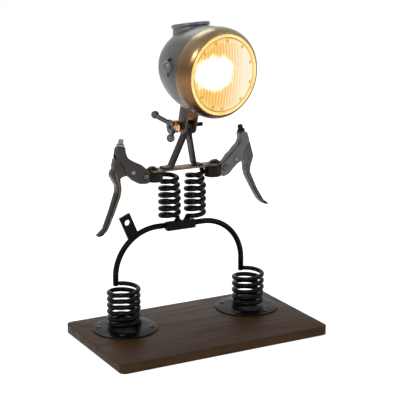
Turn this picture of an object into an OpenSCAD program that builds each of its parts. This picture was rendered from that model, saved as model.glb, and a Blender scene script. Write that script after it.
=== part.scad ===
// Robot desk lamp. The head is an old vehicle headlamp, the body is coil
// springs and flat steel, the arms are bicycle brake levers, and the legs are
// bent rod on two coil springs screwed to a wooden board.
// Millimetres. The origin is the centre of the board's underside. +X is the
// viewer's right, -Y is the robot's front and +Z is up.

/* [Board] */
// Length of the board, along X
board_l = 332; // [325:1:345]
// Depth of the board, along Y
board_w = 195; // [190:1:205]
// Thickness of the board
board_t = 14; // [13:0.5:16]
// Radius of the board's corners in plan
board_corner_r = 9; // [4:1:14]

/* [Feet] */
// X of the robot's middle plane
robot_x = 2.5; // [0:0.5:4]
// Y of the foot springs' axes
foot_y = 33; // [30:0.5:34]
// Half the distance between the foot discs
disc_dx = 101.8; // [100:0.2:103]
// Radius of a foot disc
disc_r = 48; // [46:0.5:50]
// Height of a foot disc's middle above the board
disc_h = 4; // [3:0.5:6]
// Radius of the circle that a disc's four wood screws stand on
screw_circle_r = 38; // [37:0.5:40]
// Half the distance between the foot springs' axes
foot_spring_dx = 103.7; // [103:0.1:104.5]
// Radius from a foot spring's axis to the middle of its wire
foot_coil_r = 21.4; // [20.5:0.1:22]
// Diameter of a foot spring's wire
foot_wire_d = 6.6; // [6:0.1:7]
// Turns in the left foot spring
left_foot_turns = 6.1; // [6:0.01:6.12]
// Turns in the right foot spring
right_foot_turns = 5; // [4.9:0.01:5.05]
// Height of the left foot spring's top end
left_foot_top_z = 75.6; // [75:0.1:78]
// Height of the right foot spring's top end
right_foot_top_z = 68.6; // [68:0.1:71]

/* [Legs] */
// Radius of the leg rod
leg_r = 4.2; // [4:0.1:4.4]
// Half the distance between the upright parts of the legs
leg_dx = 105; // [104:0.1:106]
// Bend radius of the left leg's middle line
left_bend_r = 68; // [64:1:70]
// Bend radius of the right leg's middle line
right_bend_r = 66; // [64:1:70]
// Height of the left leg's level stretch
left_leg_top_z = 152.4; // [152:0.1:153]
// Height of the right leg's level stretch
right_leg_top_z = 151.2; // [151:0.1:152]
// Length of the drilled tab on the left leg, from the rod's middle line
tab_l = 37.5; // [34:0.5:40]
// Width of the tab
tab_w = 17.4; // [15:0.2:19]
// Thickness of the tab
tab_t = 4; // [3:0.5:5]
// Radius of the tab's hole
tab_hole_r = 4.5; // [3.5:0.1:5]

/* [Torso] */
// Length of the flat bar across the hips
hip_l = 47.5; // [46:0.5:49]
// Height of the hip bar
hip_h = 13; // [12.5:0.5:14]
// Y of the torso springs' axes
torso_y = 48.4; // [48:0.1:48.6]
// Half the distance between the torso springs' axes
torso_spring_dx = 21; // [20.8:0.1:21.2]
// Radius from a torso spring's axis to the middle of its wire
torso_coil_r = 13.4; // [13.2:0.1:13.4]
// Diameter of a torso spring's wire
torso_wire_d = 7; // [6.8:0.1:7]
// Turns in each torso spring, ends included
torso_turns = 6.5; // [5.5:1:6.5]

/* [Shoulders] */
// Height of the shoulder bar's underside
shoulder_z = 238.8; // [238:0.1:239.5]
// Y of the shoulder bar's middle line
shoulder_y = 43; // [42:0.5:44]
// Half the distance between the shoulder stubs' axes
stub_dx = 47.6; // [47.4:0.1:48]
// Width of the shoulder bar
shoulder_w = 19; // [19:0.5:20]
// Radius of a shoulder stub, a piece of handlebar
stub_r = 11.1; // [11:0.1:11.2]
// Length of the left shoulder stub
left_stub_l = 14.4; // [14:0.1:15]
// Length of the right shoulder stub
right_stub_l = 17; // [16.5:0.1:18]

/* [Brake levers] */
// Half the distance between the levers' pivot pins
pivot_dx = 84.2; // [83.8:0.1:84.6]
// Height of the left lever's pivot pin
left_pivot_z = 242; // [241.5:0.1:242.5]
// Height of the right lever's pivot pin
right_pivot_z = 244.3; // [244:0.1:244.6]
// Outward lean of the left lever, in degrees
left_lean = 7; // [5:0.5:8]
// Outward lean of the right lever, in degrees
right_lean = 0; // [0:0.5:1]
// Thickness of a lever's housing, along Y
housing_t = 14; // [13.5:0.1:14.5]
// Thickness of a lever's blade, along Y
blade_t = 12.4; // [11.5:0.1:13]
// Radius of a pivot pin
pin_r = 2.5; // [2.4:0.1:2.6]

/* [Neck] */
// X of the neck's middle
neck_x = 5.2; // [5:0.1:5.4]
// Y of the neck straps' middle line
strap_y = 40; // [39.5:0.5:40.5]
// Width of a neck strap, along Y
strap_w = 16; // [15:0.5:16]
// Thickness of a neck strap
strap_t = 3.2; // [3:0.1:3.2]
// Height of the neck stud, which the head tilts on
stud_z = 302.5; // [302:0.1:303]
// Y of the neck stud
stud_y = 37; // [36.5:0.1:37.5]
// Radius of the neck stud
stud_r = 3; // [2.9:0.1:3]

/* [Headlamp] */
// Lens rim centre, which places the whole headlamp
lamp_x = 16.2; // [16:0.1:17]
// Y of the lens rim centre
lamp_y = -50.7; // [-52:0.1:-50]
// Z of the lens rim centre
lamp_z = 385.4; // [385:0.1:386]
// Turn of the headlamp towards +X, in degrees
lamp_yaw = 8.6; // [8:0.1:9]
// Nod of the headlamp below level, in degrees
lamp_nod = 3.75; // [3.5:0.05:4]
// Largest radius of the rear bowl, at the bezel
bowl_r = 62; // [61.5:0.1:62.5]
// Length of the rear bowl behind the bezel
bowl_l = 96; // [94:0.5:98]
// Depth of the bezel, from the lens rim to the bowl
bezel_l = 26; // [25.5:0.5:27]
// Wall of the pressed sheet of bowl and bezel
sheet_t = 1.5; // [1.2:0.1:1.8]
// Outer radius of the collar's rolled rim
collar_r = 27.3; // [26:0.1:28]

/* [Hidden] */
$fn = 48;

gap = 0.05;            // clearance between pieces that are fitted together
run = 0.3;             // clearance between pieces that move past each other
tube_sides = 6;
rings_per_turn = 8;

// Feet
disc_top = board_t + disc_h;
screw_r = 1.8;
screw_head_r = 4;
screw_seat_z = disc_top - 1.2;
screw_hole_depth = 11;
left_screw_angles = [68, 160, 239, 330];
right_screw_angles = [45, 139, 220, 284];
foot_closed_pitch = 7.3;

// Legs: a spring's top end runs straight into the side of its leg rod
coil_to_leg = foot_wire_d + leg_r;
leg_offset = leg_dx - foot_spring_dx;
leg_y = foot_y + sqrt(pow(foot_coil_r, 2) + pow(coil_to_leg, 2) - pow(leg_offset, 2));
leg_below_coil = 3.5;
tab_lean = 23;
tab_angle_on_bend = 34.3;
tab_hole_from_rod = 25.8;

// Torso
hip_x = robot_x - 3.2;
hip_t = 8.8;
hip_socket = 3.9;      // depth of the hip bar's sockets for the torso springs
bar_socket = 2;        // depth of the shoulder bar's sockets for them
hip_top = 159.5;
hip_front = leg_y - leg_r - hip_t;
tail_bend_r = 3.3;
top_coil_less = 2.1;   // the turns beside the clamps are this much smaller in radius
taper_turns = 2.1;

// Shoulders
bar_t = 3;
bar_top = shoulder_z + bar_t;
band_t = 1;
band_top = 1.2;        // drop of a clamp band's top below the shoulder bar
stub_below_band = 0.6;
bolt_out = 3.5;        // distance of a shoulder bolt outwards from its stub's axis
m8_r = 4;
clamp_r = stub_r + gap + band_t;

// Levers: outlines lie in the plane of the lever, with the pivot pin at [0, 0],
// the first value outwards from the robot and the second upwards
left_housing_face = [
    [7.5, 31], [20, 31], [22.3, 24.6], [18.3, 21], [14, 13.5], [10.6, -2], [5, -5.5],
    [-1, -14], [-7.5, -18.5], [-19, -21], [-24, -20], [-26, -5], [-21, 1], [-14.5, 8.3],
    [-5, 14.5], [1.5, 20.5]
];
right_housing_face = [
    [7.5, 31], [19.5, 31], [22.3, 24.6], [18.3, 21], [14, 13.5], [10.6, -2], [1, -7],
    [-7.5, -15], [-12.5, -20.5], [-21.6, -23.5], [-26, -22], [-26, -7], [-20.5, -3],
    [-9, 7.8], [-2, 16], [3.7, 23.8]
];
housing_slot = [[-9.5, -24], [-9.5, 4], [-4, 9.5], [8, 17], [18, 28], [40, 28], [40, -24]];
housing_neck = [[7.5, 30.9], [7.5, 31], [20, 31], [20.1, 30.9]];
left_blade_face = [
    [23, 25.2], [26.8, 16], [27.8, 13], [27, 11], [30, 8.6], [32.6, 4], [32.8, 0.5], [26.8, -15],
    [27.6, -23], [40, -48], [53.8, -73], [63, -79], [66, -80.5], [58, -79.5], [48.5, -71.5],
    [35.2, -50], [24, -30], [20.8, -20.5], [20.8, -10.5], [20.5, -4.5], [18, -2.8],
    [11.2, -2.3], [14.6, 13.3], [18.9, 20.8]
];
right_blade_face = [
    [23, 25], [29.5, 2], [24.5, -12.5], [24, -21.5], [36, -47.5], [48, -67], [56, -72.7],
    [55.5, -75], [48, -73], [41.5, -66.5], [30, -47.5], [19.5, -27.5], [17, -19], [16.5, -10],
    [14.5, -3.2], [11.2, -2.3], [14.6, 13.3], [18.9, 20.8]
];
blade_tongue = [[-3, 7.4], [15.5, 13.5], [11.8, -2.3], [4, -6.9]];
tongue_t = 8;
tongue_r = 8;
clamp_hole = [-19.2, -10.6];
clamp_bolt_r = 2.5;
clamp_slot_t = 6.2;
barrel_foot = [15.6, 24];
barrel_lean = 14;
barrel_l = 16.5;
cable_hole_r = 1.3;
barrel_r = 5.6;

// Neck
cheek_t = 2.5;
fork_w = 18.7;
fork_x0 = neck_x - fork_w / 2;
fork_x1 = neck_x + fork_w / 2;
fork_front = -18.8;    // ends of the saddle from the stud, along Y
fork_back = 1;
cheek_round_r = 12.3;
cheek_front = [
    [-19.2, 40], [-19, 30], [-18.6, 24.5], [-16.8, 15.2], [-14.2, 6.5], [-11.6, -2.2],
    [-10.4, -6.5]
];
cheek_back = [[11.7, 4], [4.1, 28.9]];
web_low = 14;          // height of the web's lower edge above the stud
strap_bend_r = 5;
left_strap_x = fork_x0 + cheek_t + 0.1 + strap_t / 2;
right_strap_x = left_strap_x + 7.9;
foot_mid_z = bar_top + strap_t / 2;

// Headlamp, with s the distance behind the lens rim
lens_r = 51;
rim_r = 56.2;
bezel_outside = [
    [57.2, 0], [58.8, 1.4], [61, 4.5], [62.6, 9], [63.3, 14], [63.4, 18], [63, 23],
    [62.3, bezel_l + 1]
];
bezel_inside = [
    [60.8, bezel_l + 1], [61.4, 23], [61.9, 18], [61.8, 14], [61.1, 9.4], [59.7, 5.4],
    [57.6, 3], [rim_r + 0.1, 2.2], [rim_r + 0.1, 0.6]
];
collar_back = 77;      // level distance behind the lens rim
collar_z = 446.6;      // height of the rolled rim's middle
collar_lean = 10.5;    // backwards from upright
boss_s = 48;
boss_h = 7.5;
boss_screw_pitch = 11.4;
bulb_s = 33;

function screw_angles(side) = side < 0 ? left_screw_angles : right_screw_angles;
function leg_x(side) = robot_x + side * leg_dx;
function spin(p, a) = [p[0] * cos(a) - p[1] * sin(a), p[0] * sin(a) + p[1] * cos(a)];

// ---- shared shapes ----

// A round bar from point a to point b
module bar_between(a, b, r) {
    d = b - a;
    translate(a)
        rotate([0, acos(d[2] / norm(d)), atan2(d[1], d[0])])
            cylinder(r = r, h = norm(d));
}

// A hexagonal bar along +Z, with its size across flats
module hex_bar(flats, h) {
    cylinder(r = flats / sqrt(3), h = h, $fn = 6);
}

// One unbroken tube through stations, each a point and the direction of its first corner
module tube(stations, d) {
    n = len(stations);
    p = [for (s = stations) s[0]];
    corners = [
        for (i = [0:n - 1])
            let (
                ahead = p[min(i + 1, n - 1)] - p[max(i - 1, 0)],
                t = ahead / norm(ahead),
                raw = stations[i][1] - (stations[i][1] * t) * t,
                u = raw / norm(raw),
                w = cross(t, u)
            )
            for (k = [0:tube_sides - 1])
                p[i] + d / 2 * (cos(360 * k / tube_sides) * u + sin(360 * k / tube_sides) * w)
    ];
    sides = [
        for (i = [0:n - 2], k = [0:tube_sides - 1])
            let (
                a = i * tube_sides + k,
                b = i * tube_sides + (k + 1) % tube_sides,
                c = a + tube_sides,
                e = b + tube_sides
            )
            each [[a, c, b], [b, c, e]]
    ];
    last = (n - 1) * tube_sides;
    caps = [
        for (k = [1:tube_sides - 2])
            each [[0, k, k + 1], [last, last + k + 1, last + k]]
    ];
    polyhedron(points = corners, faces = concat(sides, caps));
}

// The least clear distance between a tube's turns, measured on its middle points
function self_gap(stations, d) =
    min([
        for (i = [0:len(stations) - 1], j = [i + 1:len(stations) - 1])
            if (j - i > rings_per_turn / 2) norm(stations[i][0] - stations[j][0]) - d
    ]);

// ---- board and feet ----

module rounded_plate(l, w, r, t) {
    cube_l = l - 2 * r;
    cube_w = w - 2 * r;
    union() {
        translate([-cube_l / 2, -w / 2, 0]) cube([cube_l, w, t]);
        translate([-l / 2, -cube_w / 2, 0]) cube([l, cube_w, t]);
        for (x = [-1, 1], y = [-1, 1])
            translate([x * cube_l / 2, y * cube_w / 2, 0]) cylinder(r = r, h = t);
    }
}

module at_foot_screws(side) {
    for (a = screw_angles(side))
        translate([robot_x + side * disc_dx, foot_y, 0])
            rotate([0, 0, a]) translate([screw_circle_r, 0, 0]) children();
}

module base_board() {
    color([0.24, 0.15, 0.10])
        difference() {
            rounded_plate(board_l, board_w, board_corner_r, board_t);
            for (side = [-1, 1])
                at_foot_screws(side)
                    translate([0, 0, board_t - screw_hole_depth])
                        cylinder(r = screw_r + gap, h = screw_hole_depth + 1);
        }
}

function spring_x(side) = robot_x + side * foot_spring_dx;
function top_angle(side) =
    atan2(leg_y - foot_y, side * leg_offset) - atan2(coil_to_leg, foot_coil_r);
function foot_turns(side) = side < 0 ? left_foot_turns : right_foot_turns;
function foot_top_z(side) = side < 0 ? left_foot_top_z : right_foot_top_z;
function foot_low_angle(side) = top_angle(side) - 360 * foot_turns(side);
function foot_low_z() = disc_top + foot_wire_d / 2;
lug_w = 7.2;
lug_l = 7;
lug_h = 6.8;

// A dished disc, with a lug that the spring's lower end is welded to
module foot_disc(side) {
    a = foot_low_angle(side);
    color([0.05, 0.05, 0.05]) {
        difference() {
            translate([robot_x + side * disc_dx, foot_y, board_t])
                rotate_extrude()
                    polygon([[0, 0], [disc_r, 0], [disc_r, 1.2], [disc_r - 0.6, 1.8],
                             [33, disc_h], [0, disc_h]]);
            at_foot_screws(side) cylinder(r = screw_r + gap, h = 40);
            at_foot_screws(side)
                translate([0, 0, screw_seat_z]) cylinder(r = screw_head_r + gap, h = 10);
        }
        translate([spring_x(side), foot_y, disc_top])
            rotate([0, 0, a])
                translate([foot_coil_r - lug_w / 2, -foot_wire_d - lug_l, 0])
                    cube([lug_w, lug_l, lug_h]);
    }
}

module foot_screws(side) {
    color([0.08, 0.08, 0.08])
        at_foot_screws(side)
            translate([0, 0, screw_seat_z])
                rotate_extrude()
                    polygon([[0, -12], [screw_r, -12], [screw_r, 0], [screw_head_r, 0],
                             [screw_head_r, 0.7], [3, 1.6], [0, 2.1]]);
}

function foot_z(side, t) =
    let (open = (foot_top_z(side) - foot_low_z() - foot_closed_pitch) / (foot_turns(side) - 1))
    foot_low_z() + foot_closed_pitch * min(t, 1) + open * max(0, t - 1);
function foot_station(side, t) =
    let (a = foot_low_angle(side) + 360 * t)
    [[spring_x(side) + foot_coil_r * cos(a), foot_y + foot_coil_r * sin(a), foot_z(side, t)],
     [cos(a), sin(a), 0]];
function foot_run(side, t, l) =
    let (a = foot_low_angle(side) + 360 * t, s = foot_station(side, t))
    [s[0] + l * [-sin(a), cos(a), 0], s[1]];
function foot_path(side) =
    let (n = foot_turns(side), whole = floor(n * rings_per_turn - 0.3))
    concat(
        [foot_run(side, 0, -foot_wire_d)],
        [for (i = [0:whole]) foot_station(side, i / rings_per_turn)],
        [foot_station(side, n), foot_run(side, n, foot_wire_d)]
    );

module foot_spring(side) {
    color([0.04, 0.04, 0.045]) tube(foot_path(side), foot_wire_d);
}

// ---- legs ----

module leg(side) {
    bend = side < 0 ? left_bend_r : right_bend_r;
    top_z = side < 0 ? left_leg_top_z : right_leg_top_z;
    foot = foot_top_z(side) - leg_below_coil;
    x = leg_x(side);
    inner_x = robot_x + side * 2;
    color([0.05, 0.05, 0.055]) {
        translate([x, leg_y, foot]) cylinder(r = leg_r, h = top_z - bend - foot);
        translate([x - side * bend, leg_y, top_z - bend])
            rotate([90, 0, 0])
                rotate([0, 0, side < 0 ? 90 : 0])
                    rotate_extrude(angle = 90) translate([bend, 0]) circle(r = leg_r);
        bar_between([x - side * bend, leg_y, top_z], [inner_x, leg_y, top_z], leg_r);
    }
}

module leg_tab() {
    bend_x = leg_x(-1) + left_bend_r;
    bend_z = left_leg_top_z - left_bend_r;
    root_x = bend_x - left_bend_r * sin(tab_angle_on_bend);
    root_z = bend_z + left_bend_r * cos(tab_angle_on_bend);
    color([0.05, 0.05, 0.055])
        difference() {
            translate([root_x, leg_y - tab_t / 2, root_z])
                rotate([0, -tab_lean, 0])
                    difference() {
                        translate([-tab_w / 2, 0, 0]) cube([tab_w, tab_t, tab_l]);
                        translate([0, -1, tab_hole_from_rod])
                            rotate([-90, 0, 0]) cylinder(r = tab_hole_r, h = tab_t + 2);
                    }
            translate([bend_x, leg_y - tab_t, bend_z])
                rotate([-90, 0, 0]) cylinder(r = left_bend_r + leg_r - 0.04, h = 2 * tab_t);
        }
}

// ---- torso ----

module hip_bar() {
    color([0.05, 0.05, 0.055])
        difference() {
            translate([hip_x - hip_l / 2, hip_front, hip_top - hip_h]) cube([hip_l, hip_t, hip_h]);
            for (side = [-1, 1]) spring_socket(torso_path(side)[0][0]);
        }
}

// A torso spring's ends turn upright and stand in sockets in the hip bar and the shoulder bar
function torso_start(side) = side < 0 ? 0 : 180;
function torso_coil(turns_left) =
    torso_coil_r - top_coil_less * min(1, max(0, taper_turns - turns_left));
function torso_at(side, a, z) =
    let (r = torso_coil((torso_start(side) + 360 * torso_turns - a) / 360))
    [[robot_x + side * torso_spring_dx + r * cos(a), torso_y + r * sin(a), z],
     [cos(a), sin(a), 0]];
function torso_path(side) =
    let (
        a0 = torso_start(side),
        a1 = a0 + 360 * torso_turns,
        lift = tail_bend_r,
        sweep = lift / torso_coil_r * 180 / PI,
        foot = hip_top - hip_socket,
        head = shoulder_z + bar_socket,
        low = foot + torso_wire_d,
        high = head - torso_wire_d,
        turns = (a1 - a0 - 2 * sweep) / 360,
        steps = ceil(turns * rings_per_turn),
        half = lift * sin(45),
        part = sweep * (1 - cos(45))
    )
    concat(
        [torso_at(side, a0, foot), torso_at(side, a0, low), torso_at(side, a0 + part, low + half)],
        [
            for (i = [0:steps])
                torso_at(side, a0 + sweep + 360 * turns * i / steps,
                         low + lift + (high - low - 2 * lift) * i / steps)
        ],
        [torso_at(side, a1 - part, high - half), torso_at(side, a1, high),
         torso_at(side, a1, head)]
    );

// A socket that opens upwards at a spring's lower end, or downwards at its upper end
module spring_socket(end, up = 1) {
    translate(end)
        mirror([0, 0, up > 0 ? 0 : 1]) cylinder(r = torso_wire_d / 2 + gap, h = 20);
}

module torso_spring(side) {
    color([0.04, 0.04, 0.045]) tube(torso_path(side), torso_wire_d);
}

echo(foot_spring_gap_left = self_gap(foot_path(-1), foot_wire_d));
echo(foot_spring_gap_right = self_gap(foot_path(1), foot_wire_d));
echo(torso_spring_gap_left = self_gap(torso_path(-1), torso_wire_d));
echo(torso_spring_gap_right = self_gap(torso_path(1), torso_wire_d));

// ---- shoulders ----

function stub_x(side) = robot_x + side * stub_dx;
function bolt_x(side) = stub_x(side) + side * bolt_out;
function stub_length(side) = side < 0 ? left_stub_l : right_stub_l;

module shoulder_bar() {
    color([0.30, 0.25, 0.19])
        difference() {
            union() {
                translate([robot_x - stub_dx, shoulder_y - shoulder_w / 2, shoulder_z])
                    cube([2 * stub_dx, shoulder_w, bar_t]);
                for (side = [-1, 1])
                    translate([stub_x(side), shoulder_y, shoulder_z])
                        cylinder(r = shoulder_w / 2, h = bar_t);
            }
            for (side = [-1, 1]) {
                translate([bolt_x(side), shoulder_y, shoulder_z - 1])
                    cylinder(r = m8_r + gap, h = bar_t + 2);
                spring_socket(torso_path(side)[len(torso_path(side)) - 1][0], -1);
            }
        }
}

module shoulder_stub(side) {
    color([0.08, 0.06, 0.05])
        translate([stub_x(side), shoulder_y, shoulder_z - stub_length(side)])
            difference() {
                cylinder(r = stub_r, h = stub_length(side));
                translate([side * bolt_out, 0, stub_length(side) - 10])
                    cylinder(r = m8_r + gap, h = 11);
            }
}

module shoulder_bolt(side) {
    color([0.07, 0.07, 0.07])
        translate([bolt_x(side), shoulder_y, bar_top]) {
            translate([0, 0, -12]) cylinder(r = m8_r, h = 12);
            intersection() {
                translate([0, 0, -4]) sphere(r = 9.5);
                cylinder(r = 8.6, h = 6);
            }
        }
}

// ---- brake levers ----

// Puts a shape drawn in the lever's plane in its place on one side
module at_lever(side) {
    z = side < 0 ? left_pivot_z : right_pivot_z;
    lean = side < 0 ? left_lean : right_lean;
    translate([robot_x + side * pivot_dx, shoulder_y, z])
        mirror([side < 0 ? 1 : 0, 0, 0])
            rotate([90, lean, 0]) children();
}

function lever_point(side, p) =
    let (
        lean = side < 0 ? left_lean : right_lean,
        q = spin(p, -lean),
        z = side < 0 ? left_pivot_z : right_pivot_z
    )
    [robot_x + side * (pivot_dx + q[0]), shoulder_y, z + q[1]];

// An upright slice of a lever, t thick and centred on the lever's plane
module slab(t) {
    translate([0, 0, -t / 2]) linear_extrude(height = t) children();
}

module lever_axis_hole(p, r) {
    translate([p[0], p[1], -20]) cylinder(r = r, h = 40);
}

module at_barrel() {
    translate([barrel_foot[0], barrel_foot[1], 0])
        rotate([0, 0, barrel_lean]) rotate([-90, 0, 0]) children();
}

module clamp_band(side) {
    bolt = lever_point(side, clamp_hole);
    reach = side * (bolt[0] - stub_x(side)) + 5;
    color([0.07, 0.06, 0.06])
        difference() {
            union() {
                translate([stub_x(side), shoulder_y, shoulder_z - stub_length(side) + stub_below_band])
                    cylinder(r = clamp_r, h = stub_length(side) - stub_below_band - band_top);
                translate([side < 0 ? stub_x(side) - reach : stub_x(side),
                           shoulder_y - clamp_slot_t / 2 + 0.1, bolt[2] - 5])
                    cube([reach, clamp_slot_t - 0.2, 9.5]);
            }
            translate([stub_x(side), shoulder_y, shoulder_z - 30])
                cylinder(r = stub_r + gap, h = 40);
            translate([bolt[0], shoulder_y + 10, bolt[2]])
                rotate([90, 0, 0]) cylinder(r = clamp_bolt_r + gap, h = 20);
        }
}

module clamp_bolt(side) {
    color([0.32, 0.32, 0.33])
        at_lever(side)
            translate([clamp_hole[0], clamp_hole[1], 0]) {
                translate([0, 0, -housing_t / 2 - 6]) cylinder(r = clamp_bolt_r, h = housing_t + 6);
                translate([0, 0, housing_t / 2]) cylinder(r = 4.3, h = 2.2);
                translate([0, 0, -housing_t / 2 - 4.2]) hex_bar(8, 4.2);
            }
}

module lever_housing(side) {
    color(side < 0 ? [0.20, 0.20, 0.20] : [0.34, 0.34, 0.36])
        difference() {
            at_lever(side)
                difference() {
                    union() {
                        slab(housing_t)
                            polygon(side < 0 ? left_housing_face : right_housing_face);
                        hull() {
                            slab(housing_t) polygon(housing_neck);
                            at_barrel() translate([0, 0, barrel_l - 0.6])
                                cylinder(r = barrel_r, h = 0.6, $fn = 32);
                        }
                    }
                    slab(tongue_t + 2 * run) polygon(housing_slot);
                    translate([-45, -40, -clamp_slot_t / 2]) cube([34, 60, clamp_slot_t]);
                    lever_axis_hole([0, 0], pin_r + gap);
                    lever_axis_hole(clamp_hole, clamp_bolt_r + gap);
                    at_barrel() translate([0, 0, barrel_l - 9])
                        cylinder(r = 2.5 + gap, h = 12);
                }
            translate([stub_x(side), shoulder_y, shoulder_z - 40])
                cylinder(r = clamp_r + gap, h = 60);
            translate([robot_x - stub_dx, shoulder_y - shoulder_w / 2 - gap, shoulder_z - gap])
                cube([2 * stub_dx, shoulder_w + 2 * gap, 40]);
            translate([stub_x(side), shoulder_y, shoulder_z - gap])
                cylinder(r = shoulder_w / 2 + gap, h = 40);
        }
}

module lever_blade(side) {
    color(side < 0 ? [0.19, 0.18, 0.17] : [0.27, 0.27, 0.28])
        at_lever(side)
            difference() {
                union() {
                    slab(blade_t) polygon(side < 0 ? left_blade_face : right_blade_face);
                    slab(tongue_t) polygon(blade_tongue);
                    slab(tongue_t) circle(r = tongue_r);
                }
                lever_axis_hole([0, 0], pin_r + gap);
            }
}

module lever_pin(side) {
    color([0.45, 0.45, 0.46])
        at_lever(side) {
            translate([0, 0, -housing_t / 2 - 1]) cylinder(r = pin_r, h = housing_t + 2);
            for (end = [0, 1])
                mirror([0, 0, end]) translate([0, 0, housing_t / 2]) cylinder(r = 3.3, h = 1);
        }
}

module cable_adjuster(side) {
    color([0.50, 0.50, 0.51])
        at_lever(side) at_barrel() translate([0, 0, barrel_l])
            difference() {
                union() {
                    translate([0, 0, -8]) cylinder(r = 2.5, h = 12);
                    translate([0, 0, 3.7]) cylinder(r = 4, h = 5.3);
                    translate([0, 0, 9]) cylinder(r1 = 4, r2 = 2.8, h = 1.6);
                }
                translate([0, 0, -9]) cylinder(r = cable_hole_r, h = 21);
            }
}

module adjuster_locknut(side) {
    color([0.42, 0.42, 0.43])
        at_lever(side) at_barrel() translate([0, 0, barrel_l + 0.2])
            difference() {
                cylinder(r = 5.9, h = 3.3);
                translate([0, 0, -1]) cylinder(r = 2.5 + gap, h = 6);
            }
}

// ---- neck ----

function unit(v) = v / norm(v);

// The middle points of a bend that rounds the corner p between a and b
function bend(a, p, b, r) =
    let (
        ahead = unit(p - a),
        turn = atan2(cross(ahead, b - p), ahead * (b - p)),
        start = p - r * tan(abs(turn) / 2) * ahead,
        middle = start + sign(turn) * r * spin(ahead, 90)
    )
    [for (k = [0:4]) middle + spin(start - middle, turn * k / 4)];

// The points half a strap's thickness to one side of a middle line
function beside(p, half) = [
    for (i = [0:len(p) - 1])
        let (
            before = unit(p[max(i, 1)] - p[max(i, 1) - 1]),
            after = i < len(p) - 1 ? unit(p[i + 1] - p[i]) : before
        )
        p[i] + half * spin(before + after, 90) / (1 + before * after)
];

// A strap whose foot lies on the shoulder bar, and whose rounded top stands on the stud
module neck_strap(side) {
    x = side < 0 ? left_strap_x : right_strap_x;
    toe = [side < 0 ? -34.5 : 28, foot_mid_z];
    knee = [side < 0 ? -21 : 16.9, foot_mid_z];
    crook = [x, side < 0 ? 289.5 : 287.5];
    top = [x, stud_z + strap_w];
    middle = concat(
        [toe], bend(toe, knee, crook, strap_bend_r), bend(knee, crook, top, strap_bend_r), [top]
    );
    half_w = strap_w / 2;
    side_view = concat(
        [[strap_y - half_w, bar_top - 1], [strap_y + half_w, bar_top - 1]],
        [for (a = [0:15:180]) [stud_y + half_w * cos(a), stud_z + half_w * sin(a)]]
    );
    color([0.13, 0.10, 0.08])
        difference() {
            intersection() {
                translate([0, strap_y + 20, 0])
                    rotate([90, 0, 0])
                        linear_extrude(height = 40)
                            polygon(concat(
                                beside(middle, strap_t / 2),
                                [for (q = [len(middle) - 1:-1:0]) beside(middle, -strap_t / 2)[q]]
                            ));
                translate([-50, 0, 0])
                    rotate([90, 0, 90]) linear_extrude(height = 100) polygon(side_view);
            }
            translate([x - 5, stud_y, stud_z])
                rotate([0, 90, 0]) cylinder(r = stud_r + gap, h = 10);
        }
}

module ring_on_stud(x0, x1, r) {
    translate([x0, stud_y, stud_z])
        rotate([0, 90, 0])
            difference() {
                cylinder(r = r, h = x1 - x0);
                translate([0, 0, -1]) cylinder(r = stud_r + gap, h = x1 - x0 + 2);
            }
}

module neck_spacers() {
    color([0.10, 0.09, 0.08]) {
        ring_on_stud(left_strap_x + strap_t / 2, right_strap_x - strap_t / 2, 7);
        ring_on_stud(right_strap_x + strap_t / 2, fork_x1 - cheek_t - 0.1, 7);
    }
}

module neck_stud() {
    color([0.06, 0.06, 0.06])
        translate([-25, stud_y, stud_z]) rotate([0, 90, 0]) cylinder(r = stud_r, h = 54.6);
}

module neck_washer() {
    color([0.20, 0.20, 0.20]) ring_on_stud(fork_x0 - 1.2, fork_x0, 6);
}

module neck_locknut() {
    color([0.14, 0.13, 0.12])
        difference() {
            translate([-9, stud_y, stud_z]) rotate([0, 90, 0]) hex_bar(11, fork_x0 - 1.2 + 9);
            translate([-12, stud_y, stud_z])
                rotate([0, 90, 0]) cylinder(r = stud_r + gap, h = 12);
        }
}

module brass_nut() {
    color([0.72, 0.45, 0.18])
        difference() {
            translate([-18.4, stud_y, stud_z])
                rotate([0, 90, 0])
                    rotate_extrude()
                        polygon([[0, 0], [8.3, 0], [9.4, 1.1], [9.4, 6], [7.2, 9.4], [0, 9.4]]);
            translate([-20, stud_y, stud_z])
                rotate([0, 90, 0]) cylinder(r = stud_r + gap, h = 14);
        }
}

// Each arm of the wing nut leaves the hub and ends in a ball
module wing_nut() {
    arm_angles = [33.5, 202.5];
    ball_out = 27.5;
    color([0.25, 0.25, 0.26])
        difference() {
            translate([-18.4, stud_y, stud_z]) {
                rotate([0, -90, 0]) cylinder(r = 11.2, h = 5);
                for (turn = arm_angles)
                    rotate([turn, 0, 0]) {
                        bar_between([-2.6, 8, 0], [-16.4, ball_out, 0], 3);
                        translate([-16.4, ball_out, 0]) sphere(r = 5.5);
                    }
            }
            translate([-25, stud_y, stud_z])
                rotate([0, 90, 0]) cylinder(r = stud_r + gap, h = 14);
        }
}

// ---- headlamp ----

// Turns +Z to point backwards from the lens rim along the lamp's own axis
module in_lamp() {
    translate([lamp_x, lamp_y, lamp_z])
        rotate([0, 0, lamp_yaw]) rotate([lamp_nod - 90, 0, 0]) children();
}

bowl_steps = 22;
bowl_end = bezel_l + bowl_l;
seam_s = bezel_l + 1.2;
grommet_r = 7;

// The bowl's outline from the seam at the bezel to its back, grown or shrunk all over
function bowl_line(grow) = [
    for (i = [0:bowl_steps])
        let (a = 90 * i / bowl_steps)
        [(bowl_r + grow) * cos(a), seam_s + (bowl_end + grow - seam_s) * sin(a)]
];

module bowl_solid(grow) {
    rotate_extrude($fn = 96)
        polygon(concat([[0, bezel_l - 12], [bowl_r + grow, bezel_l - 12]], bowl_line(grow)));
}

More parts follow.
